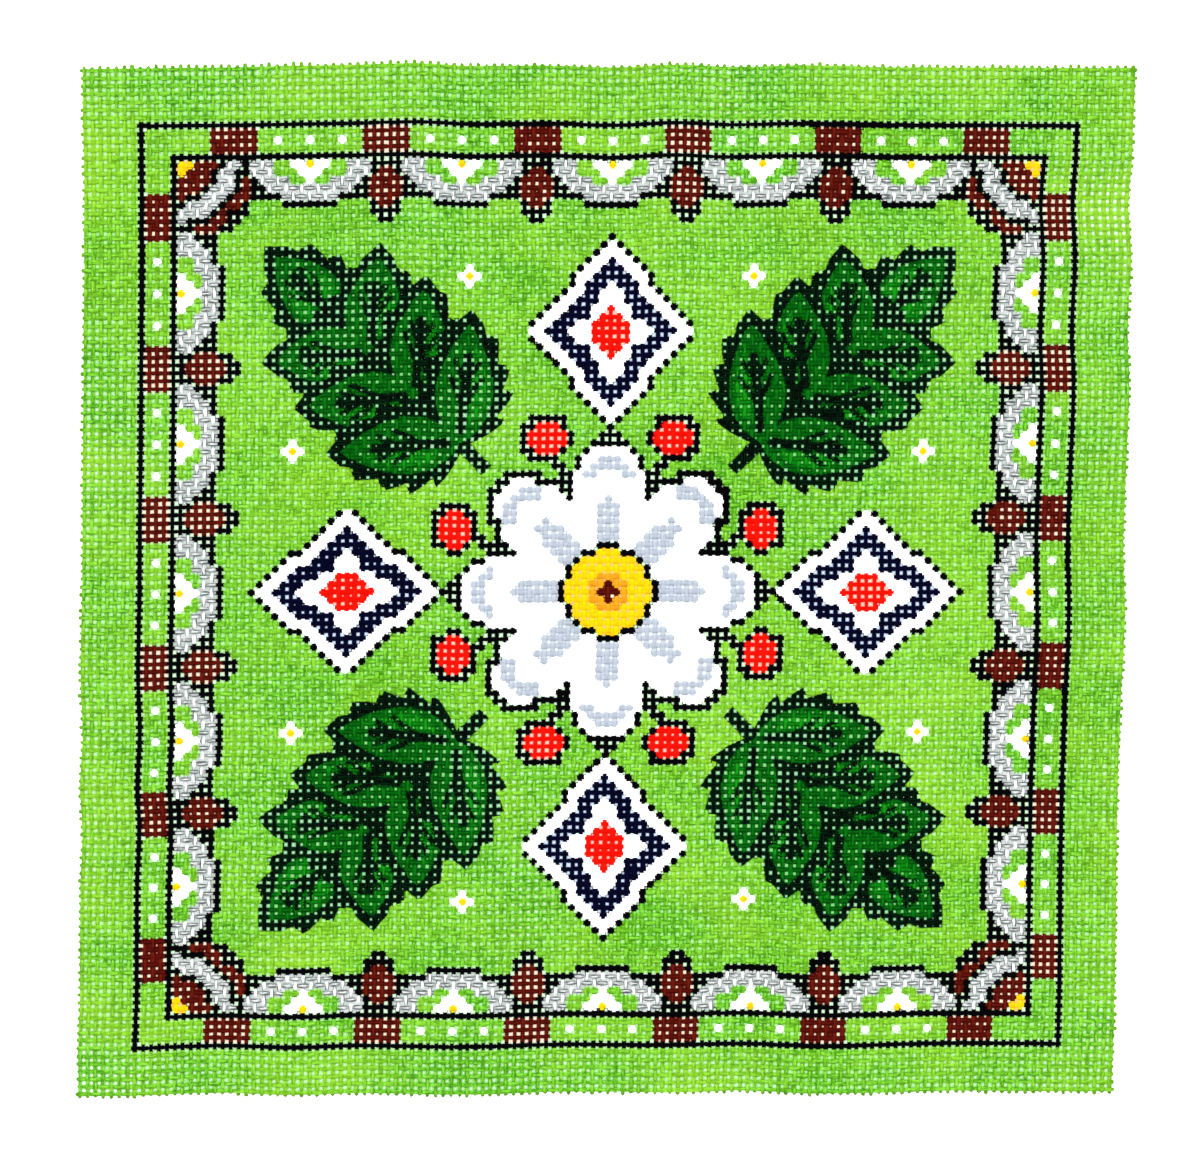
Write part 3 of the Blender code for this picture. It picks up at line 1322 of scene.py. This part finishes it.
    @staticmethod
    def faces(round_open: Array, round_shut: Array, first: int) -> Array:
        """Return the faces between the crossings and the openings, or over the closed holes.

        Args:
            round_open: The four crossings round each open hole.
            round_shut: The four crossings round each closed hole.
            first: The number of the first point after the crossings.

        Returns:
            The three corners of each face, one face after another.
        """
        rim = first + np.arange(round_open.size).reshape(-1, 4)
        cap = first + rim.size + np.arange(len(round_shut))
        faces = []
        for arm in range(4):
            far = (arm + 1) % 4
            faces.append([rim[:, arm], rim[:, far], round_open[:, far]])
            faces.append([round_open[:, arm], rim[:, arm], round_open[:, far]])
            faces.append([round_shut[:, arm], cap, round_shut[:, far]])
        return np.concatenate([np.stack(face, axis=-1).ravel() for face in faces])

    def add_values(
        self, draft: MeshDraft, column: Array, row: Array, holes: Array, most: Array
    ) -> None:
        """Add what the material reads.

        Args:
            draft: The mesh in the making.
            column: The crossings' columns.
            row: The crossings' rows.
            holes: Which hole each point after the crossings belongs to.
            most: The charted coat that most of each hole's crossings have.
        """
        at_post = self.design.masks(column.astype(float), row.astype(float))
        across = self.lattice.warps - 1
        hole_column, hole_row = holes % across + 0.5, holes // across + 0.5
        in_hole = {}
        for number, coat in enumerate(CHARTED):
            on = (at_post[coat] > 0).reshape(self.lattice.wefts, self.lattice.warps)
            near = on[:-1, :-1].astype(int) + on[:-1, 1:] + on[1:, 1:] + on[1:, :-1]
            beside = np.where(near.ravel()[holes] > 1, self.spill, -1.0)
            in_hole[coat] = np.where(most[holes] == number, 1.0, beside)
        for coat, cover in self.design.brushed_covers(hole_column, hole_row).items():
            in_hole[coat] = np.clip(cover, -1.0, 1.0)
        for coat in Coat:
            draft.values[coat.attribute] = np.concatenate([at_post[coat], in_hole[coat]])
        pitch = self.lattice.pitch / MM
        places = np.column_stack([np.append(column, hole_column), np.append(row, hole_row)])
        draft.values["yarn"] = np.column_stack([places * pitch, 0 * places[:, 0]])
        draft.values["front"] = np.ones(len(places))
        rng = np.random.default_rng(self.thin_seed)
        thin = np.clip(rng.normal(*self.thin, size=most.size), *self.thin_ends)[holes]
        thin += self.edge_thin * self.lattice.openness(hole_column, hole_row)
        thin += self.patch_thin * self.patches.ravel()[holes]
        draft.values["wash"] = np.append(np.zeros(len(column)), thin)


# ---------------------------------------------------------------------------------------------
# Materials
# ---------------------------------------------------------------------------------------------


class Graph:
    """A node tree that is filled by short calls."""

    def __init__(self, tree: bpy.types.NodeTree) -> None:
        """Keep the tree.

        Args:
            tree: The tree to fill.
        """
        self.tree = tree

    def node(self, kind: str, **settings: object) -> bpy.types.Node:
        """Add a node.

        Args:
            kind: Its type, without the leading ShaderNode.
            **settings: Its properties.

        Returns:
            The node.
        """
        made = self.tree.nodes.new("ShaderNode" + kind)
        for key, value in settings.items():
            setattr(made, key, value)
        return made

    def feed(self, socket: bpy.types.NodeSocket, source: object) -> None:
        """Give a socket a link or a value.

        Args:
            socket: The input.
            source: An output to link, or the value itself.
        """
        if isinstance(source, bpy.types.NodeSocket):
            self.tree.links.new(source, socket)
        else:
            socket.default_value = source

    def value(self, name: str, part: str = "Fac") -> bpy.types.NodeSocket:
        """Return what the mesh carries under a name."""
        return self.node("Attribute", attribute_name=name).outputs[part]

    def sum(self, operation: str, *sources: object) -> bpy.types.NodeSocket:
        """Return the result of a sum.

        Args:
            operation: The Math node's operation.
            *sources: Its inputs.

        Returns:
            The result.
        """
        made = self.node("Math", operation=operation)
        for socket, source in zip(made.inputs, sources):
            self.feed(socket, source)
        return made.outputs[0]

    def mix(self, share: object, first: object, second: object) -> bpy.types.NodeSocket:
        """Return a mix of two colours.

        Args:
            share: How much of the second.
            first: The first colour.
            second: The second colour.

        Returns:
            The mixed colour.
        """
        made = self.node("Mix", data_type="RGBA")
        # Its factor comes first, and its colours after those of the other data types.
        for place, source in ((0, share), (6, first), (7, second)):
            self.feed(made.inputs[place], source)
        return made.outputs[2]

    def ramp(self, source: object, span: Span, to: Span = (0.0, 1.0)) -> bpy.types.NodeSocket:
        """Return a value stretched from one span to another, and kept in it.

        Args:
            source: The value.
            span: What becomes the first end, and what becomes the second one.
            to: The two ends.

        Returns:
            The stretched value.
        """
        made = self.node("MapRange", clamp=True)
        for socket, item in zip(made.inputs, (source, *span, *to)):
            self.feed(socket, item)
        return made.outputs[0]

    def noise(self, place: object, scale: Triple, detail: float = 2.0) -> bpy.types.NodeSocket:
        """Return plain noise.

        Args:
            place: Where it is read.
            scale: Its scale on each axis.
            detail: Its detail.

        Returns:
            The noise, about 0.5.
        """
        stretched = self.node("VectorMath", operation="MULTIPLY")
        self.feed(stretched.inputs[0], place)
        stretched.inputs[1].default_value = scale
        made = self.node("TexNoise")
        self.feed(made.inputs["Vector"], stretched.outputs[0])
        made.inputs["Scale"].default_value = 1.0
        made.inputs["Detail"].default_value = detail
        return made.outputs["Fac"]

    def parts(self, vector: object) -> list[bpy.types.NodeSocket]:
        """Return a vector's three parts.

        Args:
            vector: The vector.

        Returns:
            Its X, its Y and its Z.
        """
        made = self.node("SeparateXYZ")
        self.feed(made.inputs[0], vector)
        return list(made.outputs)

    def total(self, first: object, *shares: tuple[object, float]) -> bpy.types.NodeSocket:
        """Return a value with shares of others added to it.

        Args:
            first: The value.
            *shares: Pairs of another value and how much of it is added.

        Returns:
            The total.
        """
        for source, share in shares:
            first = self.sum("MULTIPLY_ADD", source, share, first)
        return first

    def use(self, group: bpy.types.NodeTree, **inputs: object) -> bpy.types.Node:
        """Place a node group and feed it.

        Args:
            group: The group.
            **inputs: Its inputs by name.

        Returns:
            The group's node.
        """
        made = self.node("Group", node_tree=group)
        for name, source in inputs.items():
            self.feed(made.inputs[name], source)
        return made


def start_material(name: str, shine: float) -> tuple[bpy.types.Material, Graph, bpy.types.Node]:
    """Start a material.

    Args:
        name: Its name.
        shine: How glossy it is.

    Returns:
        The material, its nodes and its shader.
    """
    material = bpy.data.materials.new(name)
    material.use_nodes = True
    shader = material.node_tree.nodes["Principled BSDF"]
    shader.inputs["Specular IOR Level"].default_value = shine
    return material, Graph(material.node_tree), shader


class Group(Graph):
    """A shader node group with named inputs and outputs."""

    def __init__(self, name: str, inputs: dict[str, str], outputs: dict[str, str]) -> None:
        """Make the group.

        Args:
            name: Its name.
            inputs: Each input's name and kind of socket.
            outputs: Each output's name and kind of socket.
        """
        tree = bpy.data.node_groups.new(name, "ShaderNodeTree")
        super().__init__(tree)
        for way, sockets in (("INPUT", inputs), ("OUTPUT", outputs)):
            for label, kind in sockets.items():
                tree.interface.new_socket(
                    name=label, in_out=way, socket_type="NodeSocket" + kind
                )
        self.inputs = tree.nodes.new("NodeGroupInput").outputs
        self.outputs = tree.nodes.new("NodeGroupOutput").inputs


@dataclass
class Effects:
    """The node groups that the materials share.

    Grains are scales of noise, per millimetre along and around the yarn or per metre of the
    panel. Spans are the values between which something goes from none to full.
    """

    coat_edge: Span = (-0.08, 0.08)  # the mask where a coat starts, and where it covers
    line_grain: Triple = (0.5, 3.6, 1.0)
    line_side: Span = (0.14, 0.36)  # the painted shade lines get more common this far from the crown
    line_more: float = 0.2  # by so much
    line_share: float = 0.13  # and by so much of the amount asked for
    line_edge: Span = (0.68, 0.77)
    side_shade_from: Span = (0.3, 0.56)  # painted shade on a thread's side starts this far from the crown
    dip_shade_from: Span = (0.1, 0.45)  # and on its top this far sunk
    region_grain: Triple = (17.0, 17.0, 17.0)
    patch_grain: Triple = (95.0, 95.0, 95.0)
    cloud_grain: Triple = (42.0, 60.0, 42.0)
    streak_grain: Triple = (0.42, 1.5, 1.0)
    fine_grain: Triple = (1.6, 3.4, 1.0)
    crown: Span = (0.5, 0.1)  # from the side to the crown
    crown_highlight: float = 0.2  # painted highlight: how much brighter the crown is
    region_share: float = 0.25
    patch_share: float = 0.45
    streak_share: float = 2.5
    fine_share: float = 1.5
    under: Span = (0.6, 0.84)  # painted shade: a thread gets darker this far sunk
    under_shade: float = -0.35
    deep_to_plain: Span = (2.08, 2.5)  # the total of all shares at which greens change
    plain_to_bright: Span = (2.5, 3.02)
    cloud_streak: float = 0.35
    cloud_region: float = 0.7
    to_warm: Span = (0.85, 1.35)
    warmest: float = 0.5
    lay: float = 0.9  # how steeply the strands wind round a thread
    fibre_grain: Triple = (1.5, 7.0, 1.0)
    strand_height: float = 0.25
    coat: bpy.types.NodeTree = field(init=False)
    lines: bpy.types.NodeTree = field(init=False)
    ground: bpy.types.NodeTree = field(init=False)
    relief: bpy.types.NodeTree = field(init=False)

    def __post_init__(self) -> None:
        """Make every group."""
        self.coat = self.make_coat()
        self.lines = self.make_lines()
        self.ground = self.make_ground()
        self.relief = self.make_relief()

    def make_coat(self) -> bpy.types.NodeTree:
        """Return the group that lays one paint over what is under it.

        Returns:
            The group. Mask is above 0 where the paint is, and Edge makes its rim uneven.
        """
        kinds = {"Under": "Color", "Paint": "Color", "Mask": "Float"}
        kinds |= {"Edge": "Float", "Ragged": "Float"}
        group = Group("Paint coat", kinds, {"Colour": "Color"})
        offset = group.sum("MULTIPLY", group.inputs["Edge"], group.inputs["Ragged"])
        laid = group.ramp(group.sum("ADD", group.inputs["Mask"], offset), self.coat_edge)
        colour = group.mix(laid, group.inputs["Under"], group.inputs["Paint"])
        group.feed(group.outputs["Colour"], colour)
        return group.tree

    def make_lines(self) -> bpy.types.NodeTree:
        """Return the group that paints shade along a thread's sides as broken fine dark lines.

        Returns:
            The group. Amount is how much of the sides the painted shade lines take, and Dip how
            far the thread darkens to the lines' colour along its sides and where it dips, painted
            shade.
        """
        kinds = {"Yarn": "Vector", "Sunk": "Float", "Paint": "Color", "Line": "Color"}
        kinds |= {"Amount": "Float", "Dip": "Float"}
        group = Group("Side shade lines", kinds, {"Colour": "Color"})
        aside = group.sum("ABSOLUTE", group.parts(group.inputs["Yarn"])[1])
        streak = group.noise(group.inputs["Yarn"], self.line_grain, detail=3.0)
        sides = group.ramp(aside, self.line_side, (0.0, self.line_more))
        streak = group.sum("ADD", streak, sides)
        streak = group.total(streak, (group.inputs["Amount"], self.line_share))
        share = group.ramp(streak, self.line_edge)
        # Painted shade: darker along the thread's sides and where it dips.
        low = group.ramp(aside, self.side_shade_from)
        low = group.sum("MAXIMUM", low, group.ramp(group.inputs["Sunk"], self.dip_shade_from))
        share = group.sum("MAXIMUM", share, group.sum("MULTIPLY", low, group.inputs["Dip"]))
        colour = group.mix(share, group.inputs["Paint"], group.inputs["Line"])
        group.feed(group.outputs["Colour"], colour)
        return group.tree

    def make_ground(self) -> bpy.types.NodeTree:
        """Return the group that paints the brushed green ground.

        Returns:
            The group: four greens in soft patches and fine streaks, with a painted highlight on
                the
            crowns and painted shade where the thread dips.
        """
        kinds = {"Yarn": "Vector", "Place": "Vector", "Sunk": "Float"}
        kinds |= {"Deep": "Color", "Plain": "Color", "Bright": "Color", "Warm": "Color"}
        group = Group("Brushed ground", kinds, {"Colour": "Color"})
        yarn, place = group.inputs["Yarn"], group.inputs["Place"]
        aside = group.sum("ABSOLUTE", group.parts(yarn)[1])
        # Painted highlight on the thread's crown.
        crown = group.ramp(aside, self.crown, (0.0, self.crown_highlight))
        region = group.noise(place, self.region_grain)
        patch = group.noise(place, self.patch_grain, detail=3.0)
        streak = group.noise(yarn, self.streak_grain, detail=3.0)
        fine = group.noise(yarn, self.fine_grain)
        share = group.total(
            crown,
            (region, self.region_share),
            (patch, self.patch_share),
            (streak, self.streak_share),
            (fine, self.fine_share),
        )
        # Painted shade where the thread dips under its neighbour.
        under = group.ramp(group.inputs["Sunk"], self.under, (0.0, self.under_shade))
        share = group.sum("ADD", share, under)
        low = group.ramp(share, self.deep_to_plain)
        high = group.ramp(share, self.plain_to_bright)
        colour = group.mix(low, group.inputs["Deep"], group.inputs["Plain"])
        colour = group.mix(high, colour, group.inputs["Bright"])
        cloud = group.noise(place, self.cloud_grain)
        cloud = group.total(cloud, (streak, self.cloud_streak), (region, self.cloud_region))
        warm = group.ramp(cloud, self.to_warm, (0.0, self.warmest))
        colour = group.mix(warm, colour, group.inputs["Warm"])
        group.feed(group.outputs["Colour"], colour)
        return group.tree

    def make_relief(self) -> bpy.types.NodeTree:
        """Return the group that gives a thread its twist and its fibres.

        Returns:
            The group: Height for the bump, and Fibre for where fibres lie proud.
        """
        outputs = {"Height": "Float", "Fibre": "Float"}
        group = Group("Yarn relief", {"Yarn": "Vector", "Turn": "Float"}, outputs)
        along, around, apart = group.parts(group.inputs["Yarn"])
        phase = group.total(along, (around, self.lay))
        phase = group.sum("MULTIPLY_ADD", phase, group.inputs["Turn"], apart)
        fibre = group.noise(group.inputs["Yarn"], self.fibre_grain, detail=4.0)
        height = group.total(fibre, (group.sum("SINE", phase), self.strand_height))
        group.feed(group.outputs["Height"], height)
        group.feed(group.outputs["Fibre"], fibre)
        return group.tree


@dataclass(frozen=True)
class Greens:
    """The four greens of the ground on one kind of face."""

    deep: Colour
    plain: Colour
    bright: Colour
    warm: Colour


THREAD_GREENS = Greens(
    paint(71, 148, 22), paint(110, 194, 46), paint(143, 228, 74), paint(169, 220, 50)
)
SIZE_GREENS = Greens(
    wash(147, 215, 122), wash(167, 229, 147), wash(186, 243, 173), wash(194, 240, 152)
)


@dataclass(frozen=True)
class PaintedCotton:
    """Cotton, or the size in its holes, under the design's paints."""

    name: str
    face: Face
    effects: Effects
    # How common the painted shade lines are on the lined paints.
    line_amount: float = 0.5
    roughness: Span = (0.7, 0.95)
    rough_from: Span = (0.35, 0.65)  # the fibres' noise that the roughness goes by
    shine: float = 0.02
    worn_from: Span = (0.3, 0.7)  # the fibres' noise, for how thick the paint lies
    worn: Span = (0.8, 1.14)
    dip_light_from: Span = (0.05, 0.7)  # how far sunk
    dip_light: Span = (1.0, 1.3)  # painted light: how much brighter the paint is in the dips, against the shade there
    wash_from: Span = (0.46, 0.7)  # how thin it is in a hole, for the colour in which it shows
    edge_grain: Triple = (1.6, 1.6, 1.0)
    edge_from: Span = (0.2, 0.8)
    edge: Span = (-0.6, 0.6)  # how far the rim of a ragged coat goes in and out
    twist: float = 7.0
    relief_strength: float = 0.8
    relief_depth: float = 0.05 * MM
    front_from: Span = (0.1, 0.6)  # how far round the thread the paint reaches
    back: Colour = paint(196, 226, 150)
    cut_from: Span = (0.15, 0.9)  # how far out along the cut end
    cut_share: float = 0.7
    # The darker colour towards the cut ends is painted shade.
    cut_end_shade: Colour = paint(96, 148, 26)

    def make(self) -> bpy.types.Material:
        """Make the material.

        Returns:
            The material.
        """
        material, graph, shader = start_material(self.name, self.shine)
        yarn = graph.value("yarn", "Vector")
        relief = graph.use(self.effects.relief, Yarn=yarn, Turn=self.twist)
        fibre = relief.outputs["Fibre"]
        worn = graph.ramp(fibre, self.worn_from, self.worn)
        # Painted light that brightens the dips, where the threads lie in shade.
        dip_light = graph.ramp(graph.value("sunk"), self.dip_light_from, self.dip_light)
        varied = graph.node("VectorMath", operation="SCALE")
        graph.feed(varied.inputs[0], self.paints(graph, yarn))
        graph.feed(varied.inputs["Scale"], graph.sum("MULTIPLY", worn, dip_light))
        # Painted shade: darker towards the cut ends.
        cut = graph.ramp(graph.value("cut"), self.cut_from, (0.0, self.cut_share))
        colour = graph.mix(cut, varied.outputs[0], self.cut_end_shade)
        painted = graph.ramp(graph.value("front"), self.front_from)
        graph.feed(shader.inputs["Base Color"], graph.mix(painted, self.back, colour))
        rough = graph.ramp(fibre, self.rough_from, self.roughness)
        graph.feed(shader.inputs["Roughness"], rough)
        bump = graph.node("Bump")
        bump.inputs["Strength"].default_value = self.relief_strength
        bump.inputs["Distance"].default_value = self.relief_depth
        graph.feed(bump.inputs["Height"], relief.outputs["Height"])
        graph.feed(shader.inputs["Normal"], bump.outputs["Normal"])
        return material

    def shown(
        self, graph: Graph, on_thread: Colour, on_size: Colour, gather: float = 0.0
    ) -> object:
        """Return a paint's colour: in the size it runs thin away from the threads.

        Args:
            graph: The material's nodes.
            on_thread: Its colour on a thread.
            on_size: Its colour where it has run thin.
            gather: How much nearer to a hole's middle it stays thick.

        Returns:
            The colour, or the socket that gives it.
        """
        if self.face is not Face.SIZE:
            return on_thread
        start, end = self.wash_from
        share = graph.ramp(graph.value("wash"), (start + gather, end + gather))
        return graph.mix(share, on_thread, on_size)

    def paints(self, graph: Graph, yarn: bpy.types.NodeSocket) -> bpy.types.NodeSocket:
        """Return the colour of every paint laid in turn over the green ground.

        Args:
            graph: The material's nodes.
            yarn: Places along and around the thread.

        Returns:
            The colour.
        """
        greens = {
            shade.name.capitalize(): self.shown(
                graph, getattr(THREAD_GREENS, shade.name), getattr(SIZE_GREENS, shade.name)
            )
            for shade in fields(Greens)
        }
        place = graph.node("TexCoord").outputs["Object"]
        sunk = graph.value("sunk")
        ground = graph.use(self.effects.ground, Yarn=yarn, Place=place, Sunk=sunk, **greens)
        colour = ground.outputs["Colour"]
        edge = graph.ramp(graph.noise(yarn, self.edge_grain), self.edge_from, self.edge)
        for coat in Coat:
            pigment = coat.value
            on_thread = pigment.on_warp if self.face is Face.WARP else pigment.on_weft
            shown = self.shown(graph, on_thread, pigment.on_size, pigment.gather)
            # Painted shade: broken dark lines along the threads' sides, and darker sides and dips.
            if pigment.line and self.face is not Face.SIZE:
                lines = graph.use(
                    self.effects.lines, Yarn=yarn, Sunk=sunk, Paint=shown, Line=pigment.line,
                    Amount=self.line_amount, Dip=pigment.dip,
                )
                shown = lines.outputs["Colour"]
            laid = graph.use(
                self.effects.coat, Under=colour, Paint=shown, Mask=graph.value(coat.attribute),
                Edge=edge, Ragged=pigment.ragged,
            )
            colour = laid.outputs["Colour"]
        return colour


@dataclass(frozen=True)
class CutCotton:
    """The loose fibres of the cut ends, stained by the ground's paint."""

    name: str = "cut_cotton"
    dark: Colour = paint(92, 146, 24)
    pale: Colour = paint(170, 216, 60)
    grain: Triple = (900.0, 900.0, 900.0)
    pale_from: Span = (0.35, 0.65)
    roughness: float = 0.9
    shine: float = 0.02

    def make(self) -> bpy.types.Material:
        """Make the material.

        Returns:
            The material.
        """
        material, graph, shader = start_material(self.name, self.shine)
        tone = graph.noise(graph.node("TexCoord").outputs["Object"], self.grain)
        colour = graph.mix(graph.ramp(tone, self.pale_from), self.dark, self.pale)
        graph.feed(shader.inputs["Base Color"], colour)
        shader.inputs["Roughness"].default_value = self.roughness
        return material


# ---------------------------------------------------------------------------------------------
# Studio
# ---------------------------------------------------------------------------------------------


@dataclass(frozen=True)
class Studio:
    """A pale floor, soft light and a camera straight above."""

    image_width: float = 297.6 * MM  # what the picture's width takes in at the canvas
    camera_height: float = 1.6
    sensor: float = 36.0
    off_centre: Span = (-1.6 * MM, -0.9 * MM)
    floor_size: float = 6.0
    floor_gap: float = 0.05 * MM
    floor_shade: float = 0.8
    floor_roughness: float = 0.9
    floor_glow: float = 0.48
    white: Colour = (1.0, 1.0, 1.0, 1.0)
    sky: float = 1.52
    sun: float = 2.0
    sun_softness: float = 24.0
    sun_turn: Span = (-48.0, 12.0)  # down from overhead, and round to a side

    def make(self) -> None:
        """Make the floor, the lights and the camera."""
        self.make_floor()
        self.make_lights()
        self.make_camera()

    def make_floor(self) -> None:
        """Make the floor, which glows a little like a light table."""
        half = self.floor_size / 2
        mesh = bpy.data.meshes.new("floor")
        spots = [(-half, -half, 0), (half, -half, 0), (half, half, 0), (-half, half, 0)]
        mesh.from_pydata(spots, [], [(0, 1, 2, 3)])
        material, graph, shader = start_material("pale_floor", 0.0)
        shade = self.floor_shade
        graph.feed(shader.inputs["Base Color"], (shade, shade, shade, 1.0))
        graph.feed(shader.inputs["Roughness"], self.floor_roughness)
        graph.feed(shader.inputs["Emission Color"], self.white)
        graph.feed(shader.inputs["Emission Strength"], self.floor_glow)
        mesh.materials.append(material)
        floor = bpy.data.objects.new("floor", mesh)
        floor.location.z = CAD_BOX[0].z - self.floor_gap
        bpy.context.scene.collection.objects.link(floor)
        floor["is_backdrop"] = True

    def make_lights(self) -> None:
        """Make an even sky and a soft sun from the picture's top."""
        scene = bpy.context.scene
        world = bpy.data.worlds.new("studio")
        world.use_nodes = True
        sky = world.node_tree.nodes["Background"]
        sky.inputs["Color"].default_value = self.white
        sky.inputs["Strength"].default_value = self.sky
        scene.world = world
        lamp = bpy.data.lights.new("key", "SUN")
        lamp.energy = self.sun
        lamp.angle = math.radians(self.sun_softness)
        key = bpy.data.objects.new("key", lamp)
        down, round_to = self.sun_turn
        key.rotation_euler = (math.radians(down), 0.0, math.radians(round_to))
        scene.collection.objects.link(key)

    def make_camera(self) -> None:
        """Make the camera, straight above with the design's top upwards."""
        data = bpy.data.cameras.new("camera")
        data.sensor_fit = "HORIZONTAL"
        data.sensor_width = self.sensor
        data.lens = self.sensor * self.camera_height / self.image_width
        data.dof.use_dof = False
        camera = bpy.data.objects.new("camera", data)
        camera.location = Vector((*self.off_centre, CAD_BOX[1].z + self.camera_height))
        bpy.context.scene.collection.objects.link(camera)
        bpy.context.scene.camera = camera
        bpy.context.scene.view_settings.view_transform = "Standard"


# ---------------------------------------------------------------------------------------------
# The panel
# ---------------------------------------------------------------------------------------------


@dataclass
class CanvasPanel:
    """The whole panel: bands of threads both ways, their frayed ends, and the size film."""

    bands: int = 4
    warp_lines: float = 0.3  # how common the painted shade lines are on the warps' lined paints
    weft_lines: float = 1.0
    weft_end: float = 0.38  # how far past the last crossing a weft is cut, in threads
    film_height: float = 0.36  # of the sheet's thickness, at the crossings
    outline: PanelOutline = field(init=False)
    lattice: Lattice = field(init=False)
    design: PaintedDesign = field(init=False)
    size: Vector = field(init=False)
    effects: Effects = field(init=False)

    def __post_init__(self) -> None:
        """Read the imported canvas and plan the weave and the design."""
        self.outline = PanelOutline(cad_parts[NODE])
        self.lattice = Lattice(self.outline)
        self.design = PaintedDesign(self.lattice.warps, self.lattice.wefts)
        low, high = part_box(NODE)
        self.size = high - low
        self.effects = Effects()

    def make(self) -> None:
        """Make every piece of the panel."""
        warp, weft = ThreadShape(), ThreadShape(end=self.weft_end)
        woven = self.make_bands(Face.WARP, self.lattice.warps, self.warp_lines, warp)
        woven += self.make_bands(Face.WEFT, self.lattice.wefts, self.weft_lines, weft)
        pieces = [piece for band, piece in woven]
        frayed = FrayedEnds([band for band, piece in woven])
        pieces.append(frayed.make("frayed_ends", CutCotton().make()))
        cotton = PaintedCotton("painted_size", Face.SIZE, self.effects)
        film = SizeFilm(self.lattice, self.design, self.film_height * self.size.z)
        sheet = film.make("size_film", cotton.make())

    def make_bands(
        self, face: Face, total: int, line_amount: float, shape: ThreadShape
    ) -> list[tuple[ThreadBand, bpy.types.Object]]:
        """Make all the threads that run one way.

        Args:
            face: Which way they run.
            total: How many there are.
            line_amount: How common the painted shade lines are on their lined paints.
            shape: The shape of one thread.

        Returns:
            Each band and its piece.
        """
        name = f"painted_{face.value}"
        cotton = PaintedCotton(name, face, self.effects, line_amount).make()
        edges = [round(total * share / self.bands) for share in range(self.bands + 1)]
        woven = []
        for number, (first, last) in enumerate(zip(edges, edges[1:]), start=1):
            band = ThreadBand(face, first, last, self.lattice, self.design, self.size.z, shape)
            woven.append((band, band.make(f"{face.value}_{number}", cotton)))
        return woven


def main() -> None:
    """Make the studio and the panel."""
    logging.basicConfig(level=logging.INFO, format="%(message)s")
    Studio().make()
    CanvasPanel().make()
    boxes = {"cad": CAD_BOX, "visual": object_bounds()}
    plain = {name: [list(corner) for corner in box] for name, box in boxes.items()}


if __name__ == "__main__":
    main()
